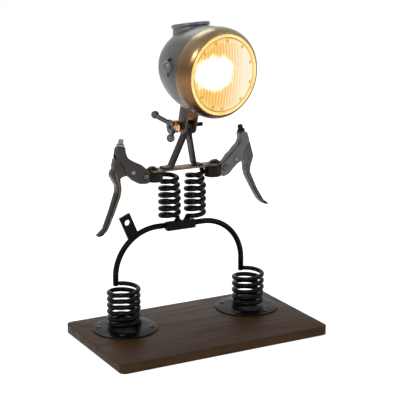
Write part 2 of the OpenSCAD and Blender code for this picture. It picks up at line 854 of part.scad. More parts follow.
// The bowl ends in a lip that the bezel slides over
module headlamp_shell() {
    lip_r = bowl_r - 1.3;
    hollow = bowl_line(-sheet_t);
    inside = [for (i = [bowl_steps:-1:1]) hollow[i]];
    lip = [
        [lip_r - sheet_t, seam_s + sheet_t], [lip_r - sheet_t, bezel_l - 6],
        [lip_r, bezel_l - 6], [lip_r, seam_s]
    ];
    color([0.38, 0.38, 0.38])
        in_lamp()
            difference() {
                rotate_extrude($fn = 96) polygon(concat(bowl_line(0), inside, lip));
                translate([0, 0, bowl_end - 20]) cylinder(r = grommet_r - 1.5 + gap, h = 30);
            }
}

module headlamp_bezel() {
    color([0.34, 0.28, 0.22])
        in_lamp() rotate_extrude($fn = 96) polygon(concat(bezel_outside, bezel_inside));
}

module lens_ring() {
    color([0.90, 0.78, 0.52])
        in_lamp()
            rotate_extrude($fn = 96)
                polygon([[51.6, 0.2], [53, -1.2], [55, -1.2], [rim_r, 0.2], [rim_r, 3], [51.6, 3]]);
}

module lens() {
    dome = 5;
    sphere_r = (pow(lens_r, 2) + pow(dome, 2)) / (2 * dome);
    color([0.98, 0.80, 0.42])
        in_lamp()
            difference() {
                intersection() {
                    translate([0, 0, sphere_r - dome + 0.6]) sphere(r = sphere_r, $fn = 96);
                    translate([0, 0, -10]) cylinder(r = lens_r, h = 13.5, $fn = 96);
                }
                translate([0, 0, sphere_r - dome + 3.6]) sphere(r = sphere_r - 0.4, $fn = 96);
            }
}

module lens_gasket() {
    color([0.05, 0.05, 0.05])
        in_lamp()
            translate([0, 0, 3.7])
                difference() {
                    cylinder(r = 55.5, h = 1.8, $fn = 96);
                    translate([0, 0, -1]) cylinder(r = 48.6, h = 4, $fn = 96);
                }
}

// A dish by the formula of a parabola, with a hole for the bulb
module reflector() {
    mouth_s = 5.6;
    mouth_r = 55;
    hole_r = 9;
    depth = 40;
    steps = 14;
    function dish(r) = mouth_s + depth * (1 - pow(r / mouth_r, 2));
    radii = [for (i = [0:steps]) mouth_r - (mouth_r - hole_r) * i / steps];
    color([0.85, 0.82, 0.75])
        in_lamp()
            rotate_extrude($fn = 96)
                polygon(concat(
                    [for (r = radii) [r, dish(r)]],
                    [for (i = [0:steps]) [radii[steps - i] + 0.6, dish(radii[steps - i]) + 1]]
                ));
}

module bulb_glass() {
    color([1.0, 0.95, 0.80])
        in_lamp() translate([0, 0, bulb_s]) {
            sphere(r = 12);
            translate([0, 0, 6]) cylinder(r = 7, h = 9);
        }
}

module bulb_cap() {
    color([0.70, 0.60, 0.40])
        in_lamp() translate([0, 0, bulb_s + 15]) cylinder(r = 7.5, h = 12);
}

module bulb_holder() {
    color([0.90, 0.88, 0.82])
        in_lamp()
            difference() {
                translate([0, 0, bulb_s + 17]) cylinder(r = 11, h = 20);
                translate([0, 0, bulb_s + 10]) cylinder(r = 7.5 + gap, h = 17 + gap);
            }
}

module lamp_wires() {
    color([0.60, 0.10, 0.08])
        in_lamp()
            for (x = [-1.3, 1.3])
                translate([x, 0, bulb_s + 37]) cylinder(r = 1, h = bowl_end - bulb_s - 40);
}

module cable_grommet() {
    color([0.04, 0.04, 0.04])
        in_lamp() translate([0, 0, bowl_end])
            difference() {
                union() {
                    translate([0, 0, -9]) cylinder(r = grommet_r - 1.5, h = 11);
                    translate([0, 0, 0.3]) cylinder(r = grommet_r + 0.5, h = 3.2);
                    translate([0, 0, -9]) cylinder(r = grommet_r, h = 2.4);
                }
                translate([0, 0, -10]) cylinder(r = 3.2, h = 20);
            }
}

// Puts the middle of the collar's rolled rim in its place, with +Z up the collar
module at_collar() {
    translate([lamp_x - collar_back * sin(lamp_yaw), lamp_y + collar_back * cos(lamp_yaw), collar_z])
        rotate([0, 0, lamp_yaw]) rotate([-collar_lean, 0, 0]) children();
}

module top_collar() {
    color([0.26, 0.26, 0.27])
        difference() {
            union() {
                at_collar()
                    rotate_extrude($fn = 72)
                        polygon([[28.5, -45], [26.3, -13], [25.5, -2.8], [26.6, -2.3],
                                 [collar_r, -1], [collar_r, 1.2], [26.6, 2.3], [25.4, 2.8],
                                 [24.4, 2.2], [24, 0.8], [24, -2.8], [24.8, -13], [27, -45]]);
                intersection() {
                    in_lamp() bowl_solid(0.9);
                    at_collar() translate([0, 0, -45]) cylinder(r = 28.4, h = 45);
                }
            }
            in_lamp() bowl_solid(gap);
        }
}

module collar_cap() {
    color([0.22, 0.22, 0.23])
        at_collar() translate([0, 0, -1.6]) cylinder(r = 24 - gap, h = 1.8);
}

module at_boss(side) {
    in_lamp() translate([0, -boss_h, boss_s]) rotate([0, side * 90, 0]) children();
}

module side_boss(side) {
    color([0.20, 0.20, 0.22])
        difference() {
            at_boss(side) {
                translate([0, 0, 54]) cylinder(r = 9.3, h = 9.2);
                translate([0, 0, 63.2])
                    intersection() {
                        translate([0, 0, -4.4]) sphere(r = 9.9);
                        cylinder(r = 8.8, h = 7);
                    }
            }
            in_lamp() bowl_solid(gap);
        }
}

module side_screws() {
    color([0.45, 0.45, 0.46])
        difference() {
            for (side = [-1, 1])
                at_boss(side)
                    for (up = [-1, 1])
                        translate([0, up * boss_screw_pitch, 52]) {
                            cylinder(r = 2, h = 9.5);
                            translate([0, 0, 9.5]) cylinder(r1 = 2, r2 = 1.4, h = 0.8);
                        }
            in_lamp() bowl_solid(gap);
        }
}

// Two cheeks that lean forwards, a web between their front edges, and a saddle that follows the
// underside of the bowl
module head_fork() {
    top = 350 - stud_z;    // above the bowl's underside, which trims the fork
    color([0.24, 0.22, 0.20])
        difference() {
            union() {
                for (x = [fork_x0, fork_x1 - cheek_t])
                    translate([x, stud_y, stud_z])
                        rotate([90, 0, 90])
                            linear_extrude(height = cheek_t)
                                union() {
                                    circle(r = cheek_round_r);
                                    polygon(concat(
                                        [[-19.2, top]], cheek_front, cheek_back, [[-1.6, top]]
                                    ));
                                }
                translate([fork_x0 + 1, stud_y, stud_z])
                    rotate([90, 0, 90])
                        linear_extrude(height = fork_w - 2)
                            polygon([[-16.2, web_low], [-16.2 + cheek_t, web_low],
                                     [-18.4 + cheek_t, 30], [-18.4 + cheek_t, top],
                                     [-18.4, top], [-18.4, 30]]);
                intersection() {
                    in_lamp() bowl_solid(2.6);
                    translate([fork_x0, stud_y + fork_front, 310])
                        cube([fork_w, fork_back - fork_front, 50]);
                }
            }
            in_lamp() bowl_solid(gap);
            translate([fork_x0 - 5, stud_y, stud_z])
                rotate([0, 90, 0]) cylinder(r = stud_r + gap, h = fork_w + 10);
        }
}

// ---- one line for each node ----

base_board();
foot_disc(-1);  // foot_disc_left
foot_disc(1);  // foot_disc_right
foot_screws(-1);  // foot_screws_left
foot_screws(1);  // foot_screws_right
foot_spring(-1);  // foot_spring_left
foot_spring(1);  // foot_spring_right
leg(-1);  // leg_left
leg(1);  // leg_right
leg_tab();
hip_bar();
torso_spring(-1);  // torso_spring_left
torso_spring(1);  // torso_spring_right
shoulder_bar();
shoulder_stub(-1);  // shoulder_stub_left
shoulder_stub(1);  // shoulder_stub_right
shoulder_bolt(-1);  // shoulder_bolt_left
shoulder_bolt(1);  // shoulder_bolt_right
clamp_band(-1);  // clamp_band_left
clamp_band(1);  // clamp_band_right
clamp_bolt(-1);  // clamp_bolt_left
clamp_bolt(1);  // clamp_bolt_right
lever_housing(-1);  // lever_housing_left
lever_housing(1);  // lever_housing_right
lever_blade(-1);  // lever_blade_left
lever_blade(1);  // lever_blade_right
lever_pin(-1);  // lever_pin_left
lever_pin(1);  // lever_pin_right
cable_adjuster(-1);  // cable_adjuster_left
cable_adjuster(1);  // cable_adjuster_right
adjuster_locknut(-1);  // adjuster_locknut_left
adjuster_locknut(1);  // adjuster_locknut_right
neck_strap(-1);  // neck_strap_left
neck_strap(1);  // neck_strap_right
neck_spacers();
neck_stud();
neck_washer();
neck_locknut();
brass_nut();
wing_nut();
head_fork();
headlamp_shell();
headlamp_bezel();
lens_ring();
lens();
lens_gasket();
reflector();
bulb_glass();
bulb_cap();
bulb_holder();
lamp_wires();
cable_grommet();
top_collar();
collar_cap();
side_boss(-1);  // side_boss_left
side_boss(1);  // side_boss_right
side_screws();
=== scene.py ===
import math

import bmesh
import bpy
from mathutils import Matrix, Vector


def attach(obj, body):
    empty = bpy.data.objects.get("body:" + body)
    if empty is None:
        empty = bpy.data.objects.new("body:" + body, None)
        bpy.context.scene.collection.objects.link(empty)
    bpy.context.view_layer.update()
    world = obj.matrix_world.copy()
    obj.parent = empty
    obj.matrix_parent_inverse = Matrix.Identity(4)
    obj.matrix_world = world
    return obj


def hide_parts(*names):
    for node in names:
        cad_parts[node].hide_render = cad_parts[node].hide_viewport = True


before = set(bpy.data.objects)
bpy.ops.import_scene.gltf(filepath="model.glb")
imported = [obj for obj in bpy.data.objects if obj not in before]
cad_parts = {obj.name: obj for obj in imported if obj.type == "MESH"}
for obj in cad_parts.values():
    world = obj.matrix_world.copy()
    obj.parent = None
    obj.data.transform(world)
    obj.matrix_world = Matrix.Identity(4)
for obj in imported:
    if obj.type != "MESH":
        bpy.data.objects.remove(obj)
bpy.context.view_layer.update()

# ---- Camera ----
# The view from the left of the lamp's front, a little above the headlamp.

camera_data = bpy.data.cameras.new("camera")
camera_data.lens = 112.5
camera_data.sensor_width = 36
camera = bpy.data.objects.new("camera", camera_data)
camera.location = (-0.8202, -1.5239, 0.6332)
camera.rotation_euler = (math.radians(90 - 14.03), 0, math.radians(-28.46))
bpy.context.scene.collection.objects.link(camera)
bpy.context.scene.camera = camera
bpy.context.scene.view_settings.view_transform = "Standard"

# ---- Studio ----
# A white paper floor that runs on into a white surround, and three large soft lamps.
# The floor is a little brighter than white where it is lit, and keeps the lamp's shadow.


def feed(tree, node, inputs):
    """Gives a node its inputs, each a value or another node's output."""
    for key, value in inputs.items():
        if isinstance(value, bpy.types.NodeSocket):
            tree.links.new(value, node.inputs[key])
        else:
            node.inputs[key].default_value = value


def add(tree, kind, inputs=None, **settings):
    """A shader node with its settings and inputs."""
    made = tree.nodes.new("ShaderNode" + kind)
    for key, value in settings.items():
        setattr(made, key, value)
    feed(tree, made, inputs or {})
    return made


def maths(tree, operation, *values, clamp=False):
    """The result of one operation on values."""
    inputs = dict(enumerate(values))
    return add(tree, "Math", inputs, operation=operation, use_clamp=clamp).outputs[0]


def remap(tree, value, low, high, start=0.0, end=1.0):
    """value from low to high becomes start to end, and stays there past either end."""
    inputs = {"Value": value, "From Min": low, "From Max": high, "To Min": start, "To Max": end}
    return add(tree, "MapRange", inputs).outputs[0]


world = bpy.data.worlds.new("studio")
bpy.context.scene.world = world
world.use_nodes = True
tree = world.node_tree
tree.nodes.clear()
path = add(tree, "LightPath").outputs
seen = maths(tree, "MAXIMUM", path["Is Camera Ray"], path["Is Glossy Ray"])
seen = maths(tree, "MAXIMUM", seen, path["Is Transmission Ray"])
room_light = 0.6
strength = remap(tree, seen, 0, 1, room_light, 1.0)
surround = add(tree, "Background", {"Color": (1, 1, 1, 1), "Strength": strength})
add(tree, "OutputWorld", {"Surface": surround.outputs[0]})

paper = bpy.data.materials.new("white_paper")
paper.use_nodes = True
tree = paper.node_tree
feed(tree, tree.nodes["Principled BSDF"],
     {"Base Color": (0.78, 0.78, 0.78, 1), "Roughness": 0.9, "Specular IOR Level": 0.1,
      "Emission Color": (1, 1, 1, 1), "Emission Strength": 0.62})

floor_r, floor_drop, lamp_middle = 3.0, 0.0002, 0.22
bm = bmesh.new()
bmesh.ops.create_circle(bm, segments=96, radius=floor_r, cap_ends=True)
bmesh.ops.translate(bm, verts=bm.verts, vec=(0, 0, -floor_drop))
floor_mesh = bpy.data.meshes.new("floor")
bm.to_mesh(floor_mesh)
bm.free()
floor_mesh.materials.append(paper)
floor = bpy.data.objects.new("floor", floor_mesh)
bpy.context.scene.collection.objects.link(floor)

for name, spot, power, width in [
    ("key_lamp", (-1.5, -1.1, 1.7), 17, 0.7),
    ("fill_lamp", (1.5, -1.6, 1.0), 6, 1.2),
    ("back_lamp", (0.3, 1.6, 1.9), 11, 1.0),
]:
    lamp = bpy.data.lights.new(name, "AREA")
    lamp.energy = power
    lamp.shape = "SQUARE"
    lamp.size = width
    lamp_object = bpy.data.objects.new(name, lamp)
    lamp_object.location = spot
    aim = Vector((0, 0, lamp_middle)) - Vector(spot)
    lamp_object.rotation_euler = aim.to_track_quat("-Z", "Y").to_euler()
    bpy.context.scene.collection.objects.link(lamp_object)

# ---- Base board ----
# A board of dark walnut, planed, its corners rounded and its rims eased, under a satin
# varnish. The streaks of its grain run along its length.

MM = 0.001


def effect(name, inputs, outputs):
    """An empty shader node group that materials share, with named inputs and outputs."""
    group = bpy.data.node_groups.new(name, "ShaderNodeTree")
    for way, sockets in [("INPUT", inputs), ("OUTPUT", outputs)]:
        for label, kind in sockets.items():
            group.interface.new_socket(name=label, in_out=way, socket_type="NodeSocket" + kind)
    return group, group.nodes.new("NodeGroupInput").outputs, group.nodes.new("NodeGroupOutput")


def tone(shade):
    """A colour as a screen shows it, in 0 to 255, made linear for the shaders. Another node's
    output, or a colour with its fourth value, stays as it is."""
    if isinstance(shade, bpy.types.NodeSocket) or len(shade) == 4:
        return shade
    return (*((c / 255 / 12.92 if c / 255 <= 0.04045 else ((c / 255 + 0.055) / 1.055) ** 2.4)
              for c in shade), 1)


def blended(tree, share, a, b):
    """The colour that turns from a to b as share goes from 0 to 1."""
    return add(tree, "Mix", {0: share, 6: tone(a), 7: tone(b)}, data_type="RGBA").outputs[2]


surface_outputs = {"Color": "Color", "Roughness": "Float", "Height": "Float"}
tones = {"Light": "Color", "Dark": "Color"}
wood_grain, given, result = effect("wood_grain", {"Vector": "Vector", **tones}, surface_outputs)
along = add(wood_grain, "Mapping", {"Vector": given["Vector"], "Scale": (9, 95, 60)}).outputs[0]
figure = add(wood_grain, "TexNoise", {"Vector": along, "Scale": 1.0, "Detail": 5.0,
                                      "Roughness": 0.6, "Distortion": 0.5}).outputs[0]
pores = add(wood_grain, "Mapping", {"Vector": given["Vector"], "Scale": (60, 900, 700)}).outputs[0]
pores = add(wood_grain, "TexNoise", {"Vector": pores, "Scale": 1.0, "Detail": 3.0}).outputs[0]
streak = maths(wood_grain, "ADD",
               maths(wood_grain, "MULTIPLY", remap(wood_grain, figure, 0.36, 0.66), 0.75),
               maths(wood_grain, "MULTIPLY", remap(wood_grain, pores, 0.4, 0.62), 0.25))
feed(wood_grain, result, {"Color": blended(wood_grain, streak, given["Light"], given["Dark"]),
                          "Roughness": remap(wood_grain, streak, 0, 1, 0.34, 0.5),
                          "Height": pores})


def bare_material(name):
    """A new material with its tree, its main shader and the coordinates that its patterns read."""
    material = bpy.data.materials.new(name)
    material.use_nodes = True
    tree = material.node_tree
    return material, tree, tree.nodes["Principled BSDF"], add(tree, "TexCoord").outputs["Object"]


def relief(tree, height, depth):
    """The normals of a height in the surface, depth metres deep."""
    return add(tree, "Bump", {"Height": height, "Distance": depth, "Strength": 1.0}).outputs[0]


walnut, tree, shader, spot = bare_material("walnut")
wood = add(tree, "Group", {"Vector": spot, "Light": tone((60, 42, 25)),
                           "Dark": tone((44, 30, 18))}, node_tree=wood_grain).outputs
feed(tree, shader, {"Base Color": wood["Color"], "Roughness": wood["Roughness"],
                    "Normal": relief(tree, wood["Height"], 0.00006), "Specular IOR Level": 0.06})


def at(x, y, z):
    """A place in millimetres."""
    return Matrix.Translation((x * MM, y * MM, z * MM))


def moved(bm, place):
    """A shape carried whole to its place."""
    bmesh.ops.transform(bm, matrix=place, verts=bm.verts)
    return bm


def of_kind(kind, geom):
    """The vertices, edges or faces among what an operator made."""
    return [part for part in geom if isinstance(part, kind)]


def plate(corners, thick, corner_r=0.0, edge_r=0.0, place=None, hole=None, segments=3, rims=0):
    """A plate cut to an outline in XY and centred on Z, in millimetres, its corners rounded and
    its rims eased: both rims, or only the one on the side of Z that has the sign of rims."""
    bm = bmesh.new()
    verts = [bm.verts.new((x * MM, y * MM, -thick / 2 * MM)) for x, y in corners]
    bm.faces.new(verts)
    if corner_r:
        bmesh.ops.bevel(bm, geom=verts, offset=corner_r * MM, affect="VERTICES", segments=6,
                        profile=0.5, material=-1, clamp_overlap=True)
    if hole:
        x, y, r = hole
        bmesh.ops.create_circle(bm, segments=40, radius=r * MM, matrix=at(x, y, -thick / 2))
        bmesh.ops.delete(bm, geom=bm.faces[:], context="FACES_ONLY")
        bmesh.ops.triangle_fill(bm, edges=bm.edges[:], use_beauty=True)
    raised = bmesh.ops.extrude_face_region(bm, geom=bm.faces[:], use_keep_orig=True)["geom"]
    bmesh.ops.translate(bm, verts=of_kind(bmesh.types.BMVert, raised), vec=(0, 0, thick * MM))
    bmesh.ops.recalc_face_normals(bm, faces=bm.faces)
    if edge_r:
        eased_edges = [e for e in bm.edges if len(e.link_faces) == 2
                       and e.link_faces[0].normal.dot(e.link_faces[1].normal) < 0.2
                       and abs(e.verts[0].co.z - e.verts[1].co.z) < thick * MM / 10
                       and e.verts[0].co.z * rims >= 0]
        bmesh.ops.bevel(bm, geom=eased_edges, offset=edge_r * MM, affect="EDGES", segments=segments,
                        profile=0.5, material=-1, clamp_overlap=True)
    return moved(bm, place or Matrix())


def piece(name, bm, material, slot, body, *nodes, crease=32):
    """Makes a finished piece of a mesh. It rides on a body, and stands for its CAD nodes."""
    bmesh.ops.remove_doubles(bm, verts=bm.verts, dist=1e-7)
    bmesh.ops.recalc_face_normals(bm, faces=bm.faces)
    mesh = bpy.data.meshes.new(name)
    bm.to_mesh(mesh)
    bm.free()
    mesh.shade_smooth()
    mesh.set_sharp_from_angle(angle=math.radians(crease))
    mesh.materials.append(material)
    made = bpy.data.objects.new(name, mesh)
    bpy.context.scene.collection.objects.link(made)
    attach(made, body)
    if nodes:
        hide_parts(*nodes)


def rectangle(length, width):
    """The corners of a rectangle about the origin."""
    return [(sx * length / 2, sy * width / 2) for sx, sy in [(-1, -1), (1, -1), (1, 1), (-1, 1)]]


board_l, board_w, board_t = 332, 195, 14
board = plate(rectangle(board_l, board_w), board_t, corner_r=9, edge_r=1.2,
              place=at(0, 0, board_t / 2))
piece("walnut_board", board, walnut, "wood", "root", "base_board")

# ---- Foot discs and their screws ----
# Two dished steel discs, pressed and enamelled black, each held on the board by four
# round-headed screws. A lug on each takes the lower end of its foot spring.

weathering, given, result = effect(
    "weathering", {"Vector": "Vector", "Scale": "Float", **tones, "Amount": "Float",
                   "Smooth": "Float", "Dull": "Float"}, surface_outputs)
broad = add(weathering, "TexNoise", {"Vector": given["Vector"], "Scale": given["Scale"],
                                     "Detail": 5.0, "Roughness": 0.62}).outputs[0]
fine_scale = maths(weathering, "MULTIPLY", given["Scale"], 7.3)
fine = add(weathering, "TexNoise", {"Vector": given["Vector"], "Scale": fine_scale,
                                    "Detail": 3.0}).outputs[0]
patches = remap(weathering, broad, 0.38, 0.64)
marks = maths(weathering, "ADD", maths(weathering, "MULTIPLY", patches, 0.72),
              maths(weathering, "MULTIPLY", remap(weathering, fine, 0.42, 0.68), 0.28))
marks = maths(weathering, "MULTIPLY", marks, given["Amount"], clamp=True)
feed(weathering, result,
     {"Color": blended(weathering, marks, given["Light"], given["Dark"]),
      "Roughness": remap(weathering, patches, 0, 1, given["Smooth"], given["Dull"]),
      "Height": fine})


def weathered(made, light, dark, smooth, dull, scale=60.0, amount=1.0, depth=0.00003,
              metallic=0.0, specular=0.5, glow=0.0):
    """Gives a bare material light and dark patches that differ in shine, a fine tooth in its
    surface and a glow. Light and dark are each a plain colour or another node's output."""
    material, tree, shader, spot = made
    worn = add(tree, "Group", {"Vector": spot, "Scale": scale, "Light": tone(light),
                               "Dark": tone(dark), "Amount": amount, "Smooth": smooth,
                               "Dull": dull}, node_tree=weathering).outputs
    feed(tree, shader, {"Base Color": worn["Color"], "Roughness": worn["Roughness"],
                        "Metallic": metallic, "Specular IOR Level": specular})
    if depth:
        feed(tree, shader, {"Normal": relief(tree, worn["Height"], depth)})
    if glow:
        feed(tree, shader, {"Emission Color": worn["Color"], "Emission Strength": glow})
    return worn["Color"]


def finish(name, *looks, **more):
    """A new material, weathered."""
    made = bare_material(name)
    weathered(made, *looks, **more)
    return made[0]


def turned_about(axis, degrees):
    return Matrix.Rotation(math.radians(degrees), 4, axis)


def joined(*shapes):
    """Several shapes as one mesh."""
    whole = bmesh.new()
    for shape in shapes:
        mesh = bpy.data.meshes.new("shape")
        shape.to_mesh(mesh)
        shape.free()
        whole.from_mesh(mesh)
        bpy.data.meshes.remove(mesh)
    return whole


def turned(profile, place=None, steps=64, closed=False):
    """A turned shape: a profile of radius and height, in millimetres, spun about its own Z."""
    bm = bmesh.new()
    verts = [bm.verts.new((r * MM, 0, z * MM)) for r, z in profile]
    edges = [bm.edges.new(pair) for pair in zip(verts, verts[1:])]
    if closed:
        edges.append(bm.edges.new((verts[-1], verts[0])))
    bmesh.ops.spin(bm, geom=verts + edges, cent=(0, 0, 0), axis=(0, 0, 1), angle=2 * math.pi,
                   steps=steps, use_merge=True)
    bmesh.ops.remove_doubles(bm, verts=bm.verts, dist=1e-7)
    return moved(bm, place or Matrix())


def eased(profile, r, steps=3):
    """A profile in millimetres whose inner corners are rounded to about r."""
    points = [profile[0]]
    for a, p, b in zip(profile, profile[1:], profile[2:]):
        a, p, b = Vector(a), Vector(p), Vector(b)
        reach = min(r, (a - p).length / 2.1, (b - p).length / 2.1)
        start, end = p + (a - p).normalized() * reach, p + (b - p).normalized() * reach
        for k in range(steps + 1):
            t = k / steps
            points.append(tuple((1 - t) ** 2 * start + 2 * t * (1 - t) * p + t * t * end))
    return points + [profile[-1]]


enamel = finish("black_enamel", (9, 9, 9), (3, 3, 3), 0.24, 0.38, scale=45, specular=0.07)
screw_black = finish("screw_black", (26, 25, 25), (10, 10, 11), 0.26, 0.42, scale=200,
                     specular=0.2)

robot_x, foot_y = 2.5, 33.0
disc_dx, disc_h = 101.8, 4.0
disc_top = board_t + disc_h
foot_spring_dx, foot_turns, foot_top_angle = 103.7, {-1: 6.1, 1: 5.0}, {-1: 66.3, 1: 60.1}
screw_circle_r, screw_seat_z = 38.0, 16.8
screw_angles = {-1: [68, 160, 239, 330], 1: [45, 139, 220, 284]}
sides = {-1: "left", 1: "right"}
lug_outline, lug_h = [(17.8, -13.6), (25, -13.6), (25, -6.2), (17.8, -6.2)], 6.8


def paired(word, kind, look, bm, material, slot, body="root", crease=32):
    """A piece of the left or right side, named for its CAD node and for how it was finished."""
    node = kind + "_" + word
    piece(node + "_" + look, bm, material, slot, body, node, crease=crease)


disc_profile = eased([(0, 0), (48, 0), (48, 1.2), (47.2, 1.9), (40, 3.1), (33, 4), (0, 4)], 0.8)
screw_profile = eased([(0, -12), (1.8, -12), (1.8, 0.1), (4, 0.1), (4, 0.7), (3.1, 1.6),
                       (0, 2.1)], 0.6)
for side, word in sides.items():
    centre = at(robot_x + side * disc_dx, foot_y, board_t)
    low_angle = foot_top_angle[side] - 360 * foot_turns[side]
    spring_foot = at(robot_x + side * foot_spring_dx, foot_y, disc_top + lug_h / 2)
    lug = plate(lug_outline, lug_h, edge_r=1.4, place=spring_foot @ turned_about("Z", low_angle))
    disc = joined(turned(disc_profile, centre, 128), lug)
    paired(word, "foot_disc", "enamelled", disc, enamel, "black_steel")
    heads = [turned(screw_profile, at(robot_x + side * disc_dx, foot_y, screw_seat_z)
                    @ turned_about("Z", angle) @ at(screw_circle_r, 0, 0), 24)
             for angle in screw_angles[side]]
    piece("disc_screws_" + word, joined(*heads), screw_black, "black_steel", "root",
          "foot_screws_" + word)

# ---- Foot springs ----
# Two coil springs of steel wire, blacked. The lower end runs into the lug on its disc, and
# the upper end runs straight into the side of its leg.


def polar(r, degrees):
    """The two coordinates of a point at a radius and an angle."""
    a = math.radians(degrees)
    return r * math.cos(a), r * math.sin(a)


def frame_of(across, upright, ahead, place):
    """A frame from its three axes and its origin."""
    made = Matrix((across, upright, ahead)).transposed().to_4x4()
    made.translation = place
    return made


def along_path(points):
    """The frame at each point of a path, which turns no more than the path does."""
    frames = []
    across = None
    for i, point in enumerate(points):
        ahead = (points[min(i + 1, len(points) - 1)] - points[max(i - 1, 0)]).normalized()
        if across is None:
            across = ahead.orthogonal().normalized()
        across = (across - across.dot(ahead) * ahead).normalized()
        frames.append(frame_of(across, ahead.cross(across), ahead, point))
    return frames


def swept(frames, ring=None, segments=16, radius=1.0):
    """A ring drawn through frames, its two ends closed."""
    bm = bmesh.new()
    if ring:
        verts = [bm.verts.new((x * MM, y * MM, 0)) for x, y in ring]
        edges = [bm.edges.new(pair) for pair in zip(verts, verts[1:] + verts[:1])]
    else:
        verts = bmesh.ops.create_circle(bm, segments=segments, radius=radius * MM)["verts"]
        edges = bm.edges[:]
    bmesh.ops.transform(bm, matrix=frames[0], verts=verts)
    first = edges
    for before, here in zip(frames, frames[1:]):
        made = bmesh.ops.extrude_edge_only(bm, edges=edges)["geom"]
        edges = of_kind(bmesh.types.BMEdge, made)
        bmesh.ops.transform(bm, matrix=here @ before.inverted(),
                            verts=of_kind(bmesh.types.BMVert, made))
    bmesh.ops.contextual_create(bm, geom=first)
    bmesh.ops.contextual_create(bm, geom=edges)
    return bm


def wire(points, radius, segments=16):
    """A round wire along points in millimetres, its ends slightly rounded."""
    points = [Vector(p) * MM for p in points]
    frames = along_path(points)
    ease = radius * MM * 0.2
    head, tail = frames[0] @ Matrix.Scale(0.8, 4), frames[-1] @ Matrix.Scale(0.8, 4)
    frames[0].translation += (points[1] - points[0]).normalized() * ease
    frames[-1].translation -= (points[-1] - points[-2]).normalized() * ease
    return swept([head] + frames + [tail], segments=segments, radius=radius)


spring_black = finish("spring_black", (8, 8, 8), (2, 2, 2), 0.18, 0.4, scale=70,
                      specular=0.08)
foot_coil_r, foot_wire_d, foot_top_z = 21.4, 6.6, {-1: 75.6, 1: 68.6}
closed_pitch = 7.3
foot_low_z = disc_top + foot_wire_d / 2
turn_steps = 40


def foot_spring_line(side):
    """The middle line of a foot spring: one closed turn, then open turns up to the leg."""
    turns, centre = foot_turns[side], robot_x + side * foot_spring_dx
    open_pitch = (foot_top_z[side] - foot_low_z - closed_pitch) / (turns - 1)
    steps = round(turns * turn_steps)
    points = []
    for i in range(steps + 1):
        t = turns * i / steps
        x, y = polar(foot_coil_r, foot_top_angle[side] - 360 * (turns - t))
        z = foot_low_z + closed_pitch * min(t, 1) + open_pitch * max(0, t - 1)
        points.append(Vector((centre + x, foot_y + y, z)))
    before, after = [Vector((*polar(foot_wire_d, foot_top_angle[side] - back + 90), 0))
                     for back in (360 * turns, 0)]
    return [points[0] - before] + points + [points[-1] + after]


for side, word in sides.items():
    coil = wire(foot_spring_line(side), foot_wire_d / 2)
    paired(word, "foot_spring", "blacked", coil, spring_black, "spring_steel", crease=60)

# ---- Legs, their tab and the hip bar ----
# Two round steel rods bent to a quarter circle and welded to the hip bar, blacked. A flat tab
# with one hole is welded on the outside of the left bend. The bar has a mound of weld for each
# torso spring.

rod_black = finish("rod_black", (8, 8, 8), (2, 2, 2), 0.18, 0.36, scale=40, specular=0.07)
leg_x = {side: robot_x + side * 105 for side in sides}
leg_r, leg_y = 4.2, 56.936
bend_r, leg_top_z = {-1: 68, 1: 66}, {-1: 152.4, 1: 151.2}
bend_steps, leg_below, leg_past = 24, 3.5, 2
for side, word in sides.items():
    x, r, top = leg_x[side], bend_r[side], leg_top_z[side]
    line = [(x, leg_y, foot_top_z[side] - leg_below)]
    for k in range(bend_steps + 1):
        across, up = polar(r, 90 * k / bend_steps)
        line.append((x - side * (r - across), leg_y, top - r + up))
    line.append((robot_x + side * leg_past, leg_y, top))
    paired(word, "leg", "rod", wire(line, leg_r, 24), rod_black, "black_steel", crease=60)

tab_w, tab_l, tab_t, tab_hole_r, tab_hole_z = 17.4, 37.5, 4, 4.5, 25.8
tab_lean, tab_angle = 23, 55.7
across, up = polar(bend_r[-1], tab_angle)
tab_place = (at(leg_x[-1] + bend_r[-1] - across, leg_y, leg_top_z[-1] - bend_r[-1] + up)
             @ turned_about("Y", -tab_lean) @ turned_about("X", 90))
tab = plate([(-tab_w / 2, -0.5), (tab_w / 2, -0.5), (tab_w / 2, tab_l), (-tab_w / 2, tab_l)], tab_t,
            corner_r=0.8, edge_r=0.4, place=tab_place, hole=(0, tab_hole_z, tab_hole_r))
piece("leg_tab_plate", tab, rod_black, "black_steel", "root", "leg_tab")

hip_x, hip_l, hip_h, hip_t, hip_top, hip_front = robot_x - 3.2, 47.5, 13, 8.8, 159.5, 43.936
hip = plate(rectangle(hip_l, hip_h), hip_t, corner_r=1.6, edge_r=0.9,
            place=at(hip_x, hip_front + hip_t / 2, hip_top - hip_h / 2) @ turned_about("X", 90))
torso_y, torso_dx, torso_coil_r = 48.4, 21, 13.4
weld = [(0, -3), (5.6, -3), (5.9, -0.6), (5.2, 0.9), (4.3, 2.4), (3.6, 3.4), (0, 3.4)]
welds = [turned(weld, at(robot_x + side * (torso_dx - torso_coil_r), torso_y, hip_top), 32)
         for side in sides]
piece("hip_bar_block", joined(hip, *welds), rod_black, "black_steel", "root", "hip_bar")

# ---- Torso springs ----
# Two springs of blacked steel wire side by side. Their ends turn upright and stand in sockets
# in the hip bar and the shoulder bar.

torso_wire_d, torso_turns = 7, 6.5
tail_bend_r, top_coil_less, taper_turns = 3.3, 2.1, 2.1
hip_socket, bar_socket = 3.9, 2
shoulder_z = 238.8


